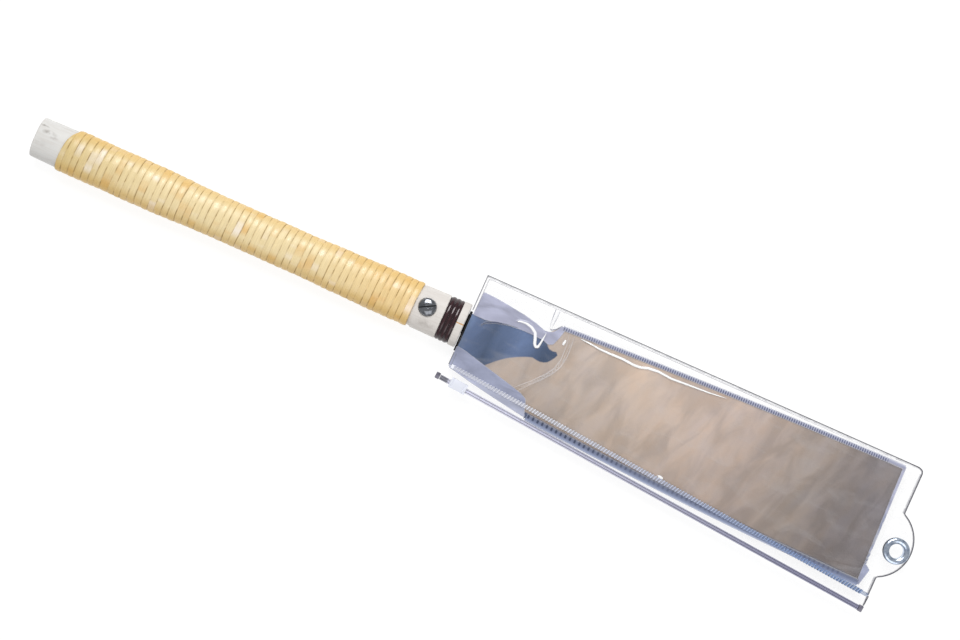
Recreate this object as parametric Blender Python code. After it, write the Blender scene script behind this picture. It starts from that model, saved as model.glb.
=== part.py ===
"""Japanese crosscut saw lying flat in its clear zip sleeve, as an assembly of separate pieces.

Units are metres and Z is up. In the saw's own frame X runs along the handle from butt to toe, with its zero at the
nose of the handle. Y runs across the blade towards the fine teeth, with its zero on the handle's middle line. Z is
square to the blade, with its zero in the middle of the blade's thickness.
"""

import math

import bmesh
import bpy
from mathutils import Vector
from mathutils.geometry import intersect_line_line

# Gap kept between pieces that touch on the real saw
FIT = 0.0003

# Handle: an oval stick, measured at the butt, at both ends of the grip, along its waist, at the collar and the nose
HANDLE_LENGTH = 0.3105
BUTT_WIDTH = 0.0275
BUTT_THICKNESS = 0.0202
GRIP_REAR_WIDTH = 0.0284
GRIP_REAR_THICKNESS = 0.0208
WAIST_WIDTH = 0.0264
WAIST_THICKNESS = 0.0194
GRIP_FRONT_WIDTH = 0.0287
GRIP_FRONT_THICKNESS = 0.0210
COLLAR_WIDTH = 0.0302
COLLAR_THICKNESS = 0.0222
NOSE_WIDTH = 0.0312
NOSE_THICKNESS = 0.0229
BARE_BUTT = 0.0205
BARE_COLLAR = 0.0345
COLLAR_EASE = 0.002
BUTT_EASE = 0.0008
# Shares of the grip where it starts to narrow, reaches its waist, leaves it and is full again
WAIST_SHARES = (0.25, 0.43, 0.68, 0.88)
OVAL_POWER = 2.3
OVAL_SIDES = 24
RIM_CHAMFER = 0.001

# Rattan strip wound round the grip, worn flat where the saw lies on it
WRAP_TURNS = 24
WRAP_THICKNESS = 0.0013
WRAP_GAP = 0.0007
WRAP_FLAT = 0.0005

# Lacquered strand wound in a groove behind the nose
WHIPPING_TURNS = 3
WHIPPING_LENGTH = 0.0092
WHIPPING_SETBACK = 0.0056
WHIPPING_THICKNESS = 0.0012
WHIPPING_GAP = 0.0006
WHIPPING_PROUD = 0.0002

# A wound strip's section: half flat below, with a crown over lower edges
STRIP_EDGE = 0.6

# Clamp screw and its nut, through both jaws of the nose
SCREW_SETBACK = 0.0268
SCREW_OFFSET = 0.0019
SCREW_DIAMETER = 0.006
HEAD_DIAMETER = 0.0121
HEAD_RIM = 0.0013
HEAD_HEIGHT = 0.0034
SEAT_DEPTH = 0.0010
SLOT_WIDTH = 0.0015
SLOT_DEPTH = 0.0013
SLOT_TURN = math.radians(29)
NUT_DIAMETER = 0.012
NUT_HEIGHT = 0.003
NUT_SUNK = 0.0005
ROUND_SIDES = 32

# Blade: reaches run from the nose of the handle, heights up and down from its middle line
BLADE_THICKNESS = 0.0007
TANG_LENGTH = 0.042
TANG_WIDTH = 0.014
NOTCH_ROOM = 0.0005
NECK_GAP = 0.0007
ROOT_LENGTH = 0.0013
ROOT_LOW = 0.0174
ROOT_HIGH = 0.0111
NECK_LOW = 0.0140
NECK_HIGH = 0.0098
THROAT_REACH = 0.047
THROAT_HIGH = 0.0145
HEEL_REACH = 0.0605
HEEL_LOW = 0.0402
HEEL_HIGH = 0.0267
HEEL_FLARE = 0.0129
HEEL_ROUND = 0.005
TOE_LOW_REACH = 0.3093
TOE_LOW = 0.0513
TOE_HIGH_REACH = 0.308
TOE_HIGH = 0.0345
TOE_PLAIN = 0.0115
TOE_DROP = 0.0006
COARSE_PITCH = 0.00348
COARSE_HEIGHT = 0.0036
COARSE_BOW = 0.0020
FINE_PITCH = 0.00134
FINE_HEIGHT = 0.0021
FINE_BOW = 0.0011
TOOTH_LEAN = 0.3
BEND_STEPS = 6

# Sleeve: two sheets round the blade, with room measured from the blade's own corners
FILM = 0.0005
BLADE_ROOM = 0.00045
MOUTH_TOP_ROOM = 0.0110
END_TOP_ROOM = 0.0032
END_HIGH_ROOM = 0.0118
END_LOW_ROOM = 0.0102
SLEEVE_ROUND = 0.004
WELD_INSET = 0.0004
TOP_WELD_WIDTH = 0.0012
END_WELD_WIDTH = 0.0014

# Hang tab on the sleeve's end and the eyelet set in it
TAB_DROP = 0.0180
TAB_HALF = 0.0232
TAB_REACH = 0.0149
TAB_STEPS = 20
EYELET_INSET = 0.0100
EYELET_DROP = 0.0198
EYELET_DIAMETER = 0.0178
EYELET_HOLE = 0.0098
EYELET_WALL = 0.0005
EYELET_FLANGE = 0.0009
EYELET_ROUND = 0.0006

# Zip along the sleeve's lower edge: rails under a slider, sealed to the sheets by ribbed bands
TRACK_OVERHANG = 0.0048
TRACK_HEEL_ROOM = 0.0004
TRACK_END_ROOM = 0.0132
RAIL_WIDTH = 0.0036
RAIL_HEIGHT = 0.0007
RAIL_CHAMFER = 0.0004
SEAL_RISE = 0.0100
SEAL_WIDTH = 0.0033
SEAL_HEIGHT = 0.0004
SEAL_INSET = 0.0015
STOP_LENGTH = 0.003
STOP_WIDTH = 0.0044
SLIDER_START = 0.0108
SLIDER_LENGTH = 0.0120
SLIDER_WALL = 0.0010
SLIDER_LIP = 0.0017

# Places that follow from the sizes above
GRIP_REAR = BARE_BUTT - HANDLE_LENGTH
GRIP_FRONT = -BARE_COLLAR
WHIPPING_FRONT = -WHIPPING_SETBACK
WHIPPING_REAR = WHIPPING_FRONT - WHIPPING_LENGTH
KERF_HALF = BLADE_THICKNESS / 2 + FIT
SHEET_INNER = BLADE_THICKNESS / 2 + BLADE_ROOM
SHEET_OUTER = SHEET_INNER + FILM
RAIL_TOP = SHEET_OUTER + RAIL_HEIGHT
BARREL_RADIUS = EYELET_HOLE / 2 + EYELET_WALL
FLANGE_BASE = SHEET_OUTER + FIT
MOUTH = NECK_GAP + FIT
SCREW_CENTRE = Vector((-SCREW_SETBACK, SCREW_OFFSET, 0))
MOUTH_TOP = Vector((MOUTH, HEEL_HIGH + MOUTH_TOP_ROOM, 0))
END_TOP = Vector((TOE_HIGH_REACH + END_HIGH_ROOM, TOE_HIGH + END_TOP_ROOM, 0))
TRACK_HEEL = Vector((HEEL_REACH, -HEEL_LOW - TRACK_HEEL_ROOM - RAIL_WIDTH / 2, 0))
TRACK_END = Vector((TOE_LOW_REACH + END_LOW_ROOM, -TOE_LOW - TRACK_END_ROOM, 0))
TRACK_ALONG = (TRACK_END - TRACK_HEEL).normalized()
TRACK_START = TRACK_HEEL - TRACK_ALONG * (HEEL_REACH - MOUTH + TRACK_OVERHANG) / TRACK_ALONG.x
TRACK_LENGTH = (TRACK_END - TRACK_START).length
TRACK_UP = Vector((-TRACK_ALONG.y, TRACK_ALONG.x, 0))
TRACK_TURN = math.atan2(TRACK_ALONG.y, TRACK_ALONG.x)
END_ALONG = (END_TOP - TRACK_END).normalized()
END_OUT = Vector((END_ALONG.y, -END_ALONG.x, 0))


def linear(hex_colour):
    """Turn an sRGB hex colour into the linear values that a shader takes."""
    channels = [int(hex_colour[i : i + 2], 16) / 255 for i in (0, 2, 4)]
    return [c / 12.92 if c <= 0.04045 else ((c + 0.055) / 1.055) ** 2.4 for c in channels]


def finish(name, hex_colour, roughness, metallic=0.0, alpha=1.0):
    """Make a plain Principled material."""
    material = bpy.data.materials.new(name)
    material.use_nodes = True
    shader = material.node_tree.nodes["Principled BSDF"]
    shader.inputs["Base Color"].default_value = (*linear(hex_colour), 1.0)
    shader.inputs["Roughness"].default_value = roughness
    shader.inputs["Metallic"].default_value = metallic
    shader.inputs["Alpha"].default_value = alpha
    return material


def add_empty(name, parent, location, turn=0.0):
    """Add an empty that carries pieces, turned about Z."""
    empty = bpy.data.objects.new(name, None)
    empty.empty_display_size = 0.01
    empty.parent = parent
    empty.location = location
    empty.rotation_euler.z = turn
    bpy.context.scene.collection.objects.link(empty)
    return empty


def add_piece(name, shape, material, parent, location=(0, 0, 0), smooth=True):
    """Turn a bmesh into a named object with its faces pointing out."""
    if shape.calc_volume(signed=True) < 0:
        bmesh.ops.reverse_faces(shape, faces=shape.faces)
    mesh = bpy.data.meshes.new(name)
    shape.to_mesh(mesh)
    shape.free()
    if smooth:
        mesh.shade_smooth()
        mesh.set_sharp_from_angle(angle=math.radians(35))
    mesh.materials.append(material)
    piece = bpy.data.objects.new(name, mesh)
    piece.parent = parent
    piece.location = location
    bpy.context.scene.collection.objects.link(piece)
    return piece


def add_cutter(name, shape, parent, location=(0, 0, 0)):
    """Add a shape that only cuts others."""
    cutter = add_piece(name, shape, MATERIALS["cutter"], parent, location, smooth=False)
    cutter.hide_render = True
    cutter.display_type = "WIRE"
    return cutter


def cut(piece, cutter):
    """Take a cutter away from a piece."""
    boolean = piece.modifiers.new(cutter.name, "BOOLEAN")
    boolean.operation = "DIFFERENCE"
    boolean.solver = "EXACT"
    boolean.object = cutter


def loft(rings):
    """Skin rings of equal counts of points, and close both ends."""
    shape = bmesh.new()
    loops = [[shape.verts.new(point) for point in ring] for ring in rings]
    for loop, following in zip(loops, loops[1:]):
        for i in range(len(loop)):
            shape.faces.new((loop[i - 1], loop[i], following[i], following[i - 1]))
    shape.faces.new(loops[0][::-1])
    shape.faces.new(loops[-1])
    return shape


def plate(outline, bottom, top):
    """Raise an outline in the XY plane into a plate between two heights."""
    return loft([[Vector((p.x, p.y, z)) for p in outline] for z in (bottom, top)])


def bar(section, start, end):
    """Draw a section of (y, z) points along X."""
    return loft([[Vector((x, y, z)) for y, z in section] for x in (start, end)])


def mirrored(section):
    """The section turned over to the other face of the blade."""
    return [(y, -z) for y, z in section]


def turned(profile, closed):
    """Turn a profile of (radius, z) points about Z; a closed profile makes a ring."""
    shape = bmesh.new()
    verts = [shape.verts.new((radius, 0, z)) for radius, z in profile]
    pairs = list(zip(verts, verts[1:]))
    if closed:
        pairs.append((verts[-1], verts[0]))
    edges = [shape.edges.new(pair) for pair in pairs]
    bmesh.ops.spin(
        shape,
        geom=verts + edges,
        axis=(0, 0, 1),
        cent=(0, 0, 0),
        angle=math.tau,
        steps=ROUND_SIDES,
        use_merge=True,
    )
    bmesh.ops.remove_doubles(shape, verts=shape.verts, dist=1e-6)
    return shape


def rod(radius, bottom, top):
    """A plain round rod along Z."""
    return turned([(0, bottom), (radius, bottom), (radius, top), (0, top)], closed=False)


def bend(start, corner, end):
    """Points of a smooth bend that leaves start and reaches end along lines through corner."""
    shares = [i / BEND_STEPS for i in range(BEND_STEPS + 1)]
    return [start * (1 - t) ** 2 + corner * 2 * t * (1 - t) + end * t**2 for t in shares]


def oval_stations():
    """The stick's measured places along X, each with its width and thickness."""
    narrowing, waist, widening, full = (GRIP_REAR + (GRIP_FRONT - GRIP_REAR) * share for share in WAIST_SHARES)
    return (
        (-HANDLE_LENGTH, BUTT_WIDTH, BUTT_THICKNESS),
        (GRIP_REAR, GRIP_REAR_WIDTH, GRIP_REAR_THICKNESS),
        (narrowing, GRIP_REAR_WIDTH, GRIP_REAR_THICKNESS),
        (waist, WAIST_WIDTH, WAIST_THICKNESS),
        (widening, WAIST_WIDTH, WAIST_THICKNESS),
        (full, GRIP_FRONT_WIDTH, GRIP_FRONT_THICKNESS),
        (GRIP_FRONT + FIT, GRIP_FRONT_WIDTH, GRIP_FRONT_THICKNESS),
        (GRIP_FRONT + COLLAR_EASE, COLLAR_WIDTH, COLLAR_THICKNESS),
        (0.0, NOSE_WIDTH, NOSE_THICKNESS),
    )


def oval_half_sizes(x):
    """Half the stick's width and thickness at x, straight between its measured places."""
    stations = oval_stations()
    for rear, front in zip(stations, stations[1:]):
        if x <= front[0]:
            break
    share = (x - rear[0]) / (front[0] - rear[0])
    width = rear[1] + share * (front[1] - rear[1])
    thickness = rear[2] + share * (front[2] - rear[2])
    return width / 2, thickness / 2


def oval_point(x, angle, rise):
    """A point over the stick's oval section at x, raised off its surface."""
    half_width, half_thickness = oval_half_sizes(x)
    across = math.cos(angle)
    up = math.sin(angle)
    y = math.copysign(abs(across) ** (2 / OVAL_POWER), across) * (half_width + rise)
    z = math.copysign(abs(up) ** (2 / OVAL_POWER), up) * (half_thickness + rise)
    return Vector((x, y, z))


def oval_ring(x, rise):
    """The stick's section at x, raised off or sunk into its surface."""
    return [oval_point(x, math.tau * i / OVAL_SIDES, rise) for i in range(OVAL_SIDES)]


def wound_rings(rear, front, turns, gap, thickness, rise, lowest):
    """Sections of one strip wound round the stick from rear to front, with a point on each edge of the oval."""
    pitch = (front - rear + gap) / (turns + 1)
    width = pitch - gap
    section = ((-0.5, 0), (0.5, 0), (0.5, STRIP_EDGE), (0, 1), (-0.5, STRIP_EDGE))
    rings = []
    for step in range(turns * OVAL_SIDES + 1):
        middle = rear + width / 2 + pitch * step / OVAL_SIDES
        angle = -math.tau * step / OVAL_SIDES
        ring = [oval_point(middle + along * width, angle, rise + up * thickness) for along, up in section]
        for point in ring:
            point.z = max(point.z, lowest)
        rings.append(ring)
    return rings


def least_gap(rings):
    """The shortest way between a turn's front edge and the next turn's rear edge, over all points."""
    gaps = []
    for ring, following in zip(rings, rings[OVAL_SIDES:]):
        fronts = (ring[1], ring[2])
        rears = (following[0], following[4])
        gaps.extend((rear - front).length for front in fronts for rear in rears)
    return min(gaps)


def add_winding(name, rings, material, parent):
    """Add a wound strip and print how close its turns come."""
    print(f"{name}: least gap between turns {least_gap(rings) * 1000:.2f} mm")
    return add_piece(name, loft(rings), material, parent)


def tooth_row(start, end, pitch, height, lean, bow):
    """Points of a row of teeth to the right of the way from start to end, with their tips on a shallow bow."""
    way = end - start
    count = round(way.length / pitch)
    outward = Vector((way.y, -way.x, 0)).normalized()
    points = [start - outward * height]
    for i in range(count):
        tip = (i + lean) / count
        gullet = (i + 1) / count
        points.append(start + way * tip + outward * bow * 4 * tip * (1 - tip))
        points.append(start + way * gullet + outward * (bow * 4 * gullet * (1 - gullet) - height))
    return points


def blade_outline():
    """The blade's outline, from the tang's rear, along the coarse teeth, round the toe and back."""
    tang_low = SCREW_OFFSET - TANG_WIDTH / 2
    tang_high = SCREW_OFFSET + TANG_WIDTH / 2
    notch = SCREW_DIAMETER / 2 + NOTCH_ROOM
    notch_low = SCREW_OFFSET - notch
    notch_high = SCREW_OFFSET + notch
    root_front = NECK_GAP + ROOT_LENGTH
    neck_low = Vector((root_front, -NECK_LOW, 0))
    flare = Vector((HEEL_REACH - HEEL_ROUND / 2, -NECK_LOW - HEEL_FLARE, 0))
    heel = Vector((HEEL_REACH, -HEEL_LOW, 0))
    coarse_end = Vector((TOE_LOW_REACH - TOE_PLAIN, -TOE_LOW, 0))
    fine_end = Vector((TOE_HIGH_REACH - TOE_PLAIN, TOE_HIGH, 0))
    shoulder = Vector((HEEL_REACH, HEEL_HIGH, 0))
    throat = Vector((THROAT_REACH, THROAT_HIGH, 0))
    throat_corner = throat + Vector(((shoulder.x - throat.x) / 2, (shoulder.y - throat.y) / 4, 0))
    before_flare = flare + (neck_low - flare).normalized() * HEEL_ROUND
    after_flare = flare + (heel - flare).normalized() * HEEL_ROUND
    points = [Vector((-TANG_LENGTH, tang_low, 0)), Vector((NECK_GAP, tang_low, 0))]
    points += [Vector((NECK_GAP, -ROOT_LOW, 0)), Vector((root_front, -ROOT_LOW, 0)), neck_low]
    points += bend(before_flare, flare, after_flare)
    points += tooth_row(heel, coarse_end, COARSE_PITCH, COARSE_HEIGHT, TOOTH_LEAN, COARSE_BOW)
    points += [coarse_end, Vector((TOE_LOW_REACH, -TOE_LOW, 0))]
    points += [Vector((TOE_HIGH_REACH, TOE_HIGH - TOE_DROP, 0)), fine_end]
    points += tooth_row(fine_end, shoulder, FINE_PITCH, FINE_HEIGHT, 1 - TOOTH_LEAN, FINE_BOW)
    points += bend(shoulder, throat_corner, throat)
    points += [Vector((root_front, NECK_HIGH, 0)), Vector((root_front, ROOT_HIGH, 0))]
    points += [Vector((NECK_GAP, ROOT_HIGH, 0)), Vector((NECK_GAP, tang_high, 0))]
    points += [Vector((-TANG_LENGTH, tang_high, 0)), Vector((-TANG_LENGTH, notch_high, 0))]
    for i in range(BEND_STEPS * 2 + 1):
        angle = math.pi / 2 - math.pi * i / (BEND_STEPS * 2)
        points.append(SCREW_CENTRE + Vector((math.cos(angle), math.sin(angle), 0)) * notch)
    points.append(Vector((-TANG_LENGTH, notch_low, 0)))
    return points


def track_point(along, rise):
    """A point of the sleeve measured along the zip and up from it."""
    return TRACK_START + TRACK_ALONG * along + TRACK_UP * rise


def end_point(height):
    """The point of the sleeve's end edge at a height."""
    share = (height - TRACK_END.y) / (END_TOP.y - TRACK_END.y)
    return TRACK_END.lerp(END_TOP, share)


def seal_line_meets(first, second):
    """Where the sheets' lower edge meets the line through two points."""
    return intersect_line_line(track_point(0, SEAL_RISE), track_point(TRACK_LENGTH, SEAL_RISE), first, second)[0]


def tab_arc():
    """Points round the hang tab, from its lower to its upper corner on the sleeve's end edge."""
    radius = (TAB_HALF**2 + TAB_REACH**2) / (2 * TAB_REACH)
    centre = end_point(-TAB_DROP) + END_OUT * (TAB_REACH - radius)
    half_turn = math.acos((radius - TAB_REACH) / radius)
    angles = [half_turn * (2 * i / TAB_STEPS - 1) for i in range(TAB_STEPS + 1)]
    return [centre + (END_OUT * math.cos(a) + END_ALONG * math.sin(a)) * radius for a in angles]


def sheet_outline():
    """A sheet's outline: the seal line, the end edge with its tab, a round corner, the top edge and the mouth."""
    top_way = (END_TOP - MOUTH_TOP).normalized()
    points = [seal_line_meets(MOUTH_TOP, MOUTH_TOP - Vector((0, 1, 0)))]
    points.append(seal_line_meets(TRACK_END, END_TOP))
    points += tab_arc()
    points += bend(END_TOP - END_ALONG * SLEEVE_ROUND, END_TOP, END_TOP - top_way * SLEEVE_ROUND)
    points.append(MOUTH_TOP)
    return points


def strip_outline(start, end, inset, width):
    """A straight strip that lies to the left of the way from start to end."""
    left = Vector((start.y - end.y, end.x - start.x, 0)).normalized()
    return [start + left * inset, end + left * inset, end + left * (inset + width), start + left * (inset + width)]


def eyelet_centre():
    """The middle of the eyelet, set in from the tip of the tab."""
    return end_point(-EYELET_DROP) + END_OUT * (TAB_REACH - EYELET_INSET)


def build_handle(saw):
    """The wooden stick with its kerf and screw holes, and what is wound round it."""
    half_thickness = oval_half_sizes(-SCREW_SETBACK)[1]
    seat = half_thickness - SEAT_DEPTH
    nut_roof = NUT_SUNK + NUT_HEIGHT + FIT - half_thickness
    groove = WHIPPING_PROUD - WHIPPING_THICKNESS - FIT
    rings = [oval_ring(-HANDLE_LENGTH, -BUTT_EASE), oval_ring(BUTT_EASE - HANDLE_LENGTH, 0)]
    rings += [oval_ring(x, 0) for x, _, _ in oval_stations()[1:-1]]
    rings += [oval_ring(WHIPPING_REAR - FIT, 0), oval_ring(WHIPPING_REAR - FIT, groove)]
    rings += [oval_ring(WHIPPING_FRONT + FIT, groove), oval_ring(WHIPPING_FRONT + FIT, 0)]
    rings += [oval_ring(-RIM_CHAMFER, 0), oval_ring(0, -RIM_CHAMFER)]
    core = add_piece("handle_core", loft(rings), MATERIALS["wood"], saw)

    past = NOSE_THICKNESS
    kerf = [(-NOSE_WIDTH, -KERF_HALF), (NOSE_WIDTH, -KERF_HALF), (NOSE_WIDTH, KERF_HALF), (-NOSE_WIDTH, KERF_HALF)]
    cut(core, add_cutter("kerf", bar(kerf, -TANG_LENGTH - FIT, past), saw))
    cut(core, add_cutter("screw_hole", rod(SCREW_DIAMETER / 2 + FIT, -past, past), saw, SCREW_CENTRE))
    cut(core, add_cutter("head_seat", rod(HEAD_DIAMETER / 2 + FIT, seat, past), saw, SCREW_CENTRE))
    cut(core, add_cutter("nut_seat", rod(NUT_DIAMETER / 2 + FIT, -past, nut_roof), saw, SCREW_CENTRE))

    wrap = wound_rings(GRIP_REAR, GRIP_FRONT, WRAP_TURNS, WRAP_GAP, WRAP_THICKNESS, FIT, -lying_height())
    add_winding("rattan_wrap", wrap, MATERIALS["rattan"], saw)
    whipping = wound_rings(
        WHIPPING_REAR,
        WHIPPING_FRONT,
        WHIPPING_TURNS,
        WHIPPING_GAP,
        WHIPPING_THICKNESS,
        groove + FIT,
        -lying_height(),
    )
    add_winding("nose_whipping", whipping, MATERIALS["lacquer"], saw)
    build_clamp(saw, seat + FIT, nut_roof - FIT)


def build_clamp(saw, head_base, nut_top):
    """The slotted screw on its own axis, and the round nut under it."""
    shank = SCREW_DIAMETER / 2
    head = HEAD_DIAMETER / 2
    nut_base = nut_top - NUT_HEIGHT
    rim = head_base + HEAD_RIM
    profile = [(0, nut_base), (shank, nut_base), (shank, head_base), (head, head_base)]
    for i in range(BEND_STEPS):
        angle = math.pi / 2 * i / BEND_STEPS
        profile.append((head * math.cos(angle), rim + (HEAD_HEIGHT - HEAD_RIM) * math.sin(angle)))
    profile.append((0, head_base + HEAD_HEIGHT))
    screw = add_piece("clamp_screw", turned(profile, closed=False), MATERIALS["nickel"], saw, SCREW_CENTRE)
    slot_floor = head_base + HEAD_HEIGHT - SLOT_DEPTH
    half_slot = SLOT_WIDTH / 2
    slot_roof = slot_floor + HEAD_HEIGHT
    slot = [(-half_slot, slot_floor), (half_slot, slot_floor), (half_slot, slot_roof), (-half_slot, slot_roof)]
    slot_cutter = add_cutter("screw_slot", bar(slot, -HEAD_DIAMETER, HEAD_DIAMETER), saw, SCREW_CENTRE)
    slot_cutter.rotation_euler.z = SLOT_TURN
    cut(screw, slot_cutter)
    bore = shank + FIT
    ring = [(bore, nut_base), (NUT_DIAMETER / 2, nut_base), (NUT_DIAMETER / 2, nut_top), (bore, nut_top)]
    add_piece("clamp_nut", turned(ring, closed=True), MATERIALS["nickel"], saw, SCREW_CENTRE)


def build_sheets(sleeve):
    """The two sheets with their eyelet holes, the welded edges between them and the eyelet."""
    centre = eyelet_centre()
    hole = add_cutter("eyelet_cut", rod(BARREL_RADIUS + FIT, -SHEET_OUTER * 2, SHEET_OUTER * 2), sleeve, centre)
    outline = sheet_outline()
    upper = add_piece("sleeve_upper_sheet", plate(outline, SHEET_INNER, SHEET_OUTER), MATERIALS["vinyl"], sleeve)
    under = add_piece("sleeve_under_sheet", plate(outline, -SHEET_OUTER, -SHEET_INNER), MATERIALS["vinyl"], sleeve)
    cut(upper, hole)
    cut(under, hole)

    half = SHEET_INNER - FIT
    tab_low, tab_high = tab_arc()[0], tab_arc()[-1]
    top_end = END_TOP + (MOUTH_TOP - END_TOP).normalized() * SLEEVE_ROUND
    end_foot = seal_line_meets(TRACK_END, END_TOP)
    corner_foot = END_TOP - END_ALONG * SLEEVE_ROUND
    welds = {
        "top_weld": strip_outline(top_end, MOUTH_TOP, WELD_INSET, TOP_WELD_WIDTH),
        "end_weld_above_tab": strip_outline(tab_high, corner_foot, WELD_INSET, END_WELD_WIDTH),
        "end_weld_below_tab": strip_outline(end_foot, tab_low, WELD_INSET, END_WELD_WIDTH),
    }
    for name, weld in welds.items():
        add_piece(name, plate(weld, -half, half), MATERIALS["weld"], sleeve)

    hole_radius = EYELET_HOLE / 2
    flange_top = FLANGE_BASE + EYELET_FLANGE
    rim = EYELET_DIAMETER / 2
    profile = [
        (hole_radius, -flange_top),
        (BARREL_RADIUS, -flange_top),
        (BARREL_RADIUS, FLANGE_BASE),
        (rim, FLANGE_BASE),
        (rim - EYELET_ROUND, flange_top),
        (hole_radius + EYELET_ROUND, flange_top),
        (hole_radius, flange_top - EYELET_ROUND),
    ]
    add_piece("eyelet", turned(profile, closed=True), MATERIALS["nickel"], sleeve, centre)
    washer = [
        (BARREL_RADIUS + FIT, -flange_top),
        (rim - EYELET_ROUND, -flange_top),
        (rim, -FLANGE_BASE),
        (BARREL_RADIUS + FIT, -FLANGE_BASE),
    ]
    add_piece("eyelet_washer", turned(washer, closed=True), MATERIALS["nickel"], sleeve, centre)


def build_zip(track):
    """The zip's two strips, their seals, its stops and its slider, along the track's own X axis."""
    rail = RAIL_WIDTH / 2
    flange = SEAL_RISE - FIT
    strip = [
        (-rail, FIT / 2),
        (rail, FIT / 2),
        (rail, SHEET_INNER),
        (flange, SHEET_INNER),
        (flange, SHEET_OUTER),
        (rail, SHEET_OUTER),
        (rail, RAIL_TOP - RAIL_CHAMFER),
        (rail - RAIL_CHAMFER, RAIL_TOP),
        (RAIL_CHAMFER - rail, RAIL_TOP),
        (-rail, RAIL_TOP - RAIL_CHAMFER),
    ]
    seal_low = SEAL_RISE - SEAL_WIDTH / 2
    seal_high = SEAL_RISE + SEAL_WIDTH / 2
    seal_base = SHEET_OUTER + FIT
    seal_top = seal_base + SEAL_HEIGHT
    seal = [(seal_low, seal_base), (seal_high, seal_base), (seal_high, seal_top), (seal_low, seal_top)]
    rail_start = STOP_LENGTH + FIT
    rail_end = TRACK_LENGTH - rail_start
    seal_start = TRACK_OVERHANG + SEAL_INSET
    seal_end = TRACK_LENGTH - SEAL_INSET
    add_piece("zip_strip_upper", bar(strip, rail_start, rail_end), MATERIALS["zip"], track)
    add_piece("zip_strip_under", bar(mirrored(strip), rail_start, rail_end), MATERIALS["zip"], track)
    add_piece("seal_band_upper", bar(seal, seal_start, seal_end), MATERIALS["weld"], track)
    add_piece("seal_band_under", bar(mirrored(seal), seal_start, seal_end), MATERIALS["weld"], track)

    half_stop = STOP_WIDTH / 2
    stop = [(-half_stop, -RAIL_TOP), (half_stop, -RAIL_TOP), (half_stop, RAIL_TOP), (-half_stop, RAIL_TOP)]
    add_piece("zip_stop_mouth", bar(stop, 0, STOP_LENGTH), MATERIALS["zip"], track)
    add_piece("zip_stop_end", bar(stop, TRACK_LENGTH - STOP_LENGTH, TRACK_LENGTH), MATERIALS["zip"], track)

    inner = RAIL_TOP + FIT
    outer = inner + SLIDER_WALL
    web = rail + FIT
    lip = SHEET_OUTER + FIT
    half_section = [(-web, inner), (web, inner), (web, lip), (web + SLIDER_LIP, lip), (web + SLIDER_LIP, outer)]
    half_section.append((-web - SLIDER_WALL, outer))
    section = half_section + mirrored(half_section)[::-1]
    middle = SLIDER_START + SLIDER_LENGTH / 2
    slider = bar(section, -SLIDER_LENGTH / 2, SLIDER_LENGTH / 2)
    add_piece("zip_slider", slider, MATERIALS["slider"], track, (middle, 0, 0))


def lying_height():
    """How far the blade's middle lies above what the saw lies on, which is the worn flat of the wrap."""
    return oval_half_sizes(GRIP_FRONT)[1] + FIT + WRAP_THICKNESS - WRAP_FLAT


def saw_place():
    """Where the nose lies when the world's origin is under the middle of the whole saw."""
    outline = sheet_outline()
    reach = max(point.x for point in outline)
    highest = max(point.y for point in outline)
    lowest = track_point(TRACK_LENGTH, -STOP_WIDTH / 2).y
    return Vector(((HANDLE_LENGTH - reach) / 2, -(highest + lowest) / 2, lying_height()))


def main():
    """Build the handle, then the blade that slides out of it, the sleeve on the blade and the zip on the sleeve."""
    saw = add_empty("saw", None, saw_place())
    build_handle(saw)
    blade_slide = add_empty("blade_slide", saw, (0, 0, 0))
    half_blade = BLADE_THICKNESS / 2
    blade = plate(blade_outline(), -half_blade, half_blade)
    add_piece("saw_blade", blade, MATERIALS["steel"], blade_slide, smooth=False)
    sleeve = add_empty("sleeve_slide", blade_slide, (0, 0, 0))
    build_sheets(sleeve)
    build_zip(add_empty("zip_track", sleeve, TRACK_START, TRACK_TURN))


for leftover in list(bpy.data.objects):
    bpy.data.objects.remove(leftover, do_unlink=True)

MATERIALS = {
    "wood": finish("pale wood", "e2dcd8", 0.45),
    "rattan": finish("rattan", "e6c88e", 0.4),
    "lacquer": finish("maroon lacquer", "3a1c1f", 0.2),
    "nickel": finish("nickel plate", "9fa3ab", 0.2, metallic=1.0),
    "steel": finish("saw steel", "b4a69b", 0.35, metallic=1.0),
    "vinyl": finish("clear vinyl", "e4e4ee", 0.15, alpha=0.3),
    "weld": finish("welded vinyl", "eeeef6", 0.3, alpha=0.6),
    "zip": finish("zip vinyl", "d4d2e2", 0.25, alpha=0.7),
    "slider": finish("white moulded plastic", "f0f0f4", 0.3),
    "cutter": finish("cutter", "808080", 0.5),
}
main()
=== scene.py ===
"""Looks of a Japanese crosscut saw in its clear zip sleeve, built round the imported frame.

Lengths are metres. Shapes are worked out in the saw's own frame: X runs from the nose of the handle towards
the toe, Y towards the fine teeth, and Z is square to the blade. They are then set at the nose's place.
"""

import logging
import math
from collections.abc import Iterator, Sequence
from contextlib import contextmanager
from dataclasses import dataclass
from enum import Enum

import bpy
import numpy as np
from mathutils import Matrix, Vector


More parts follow.
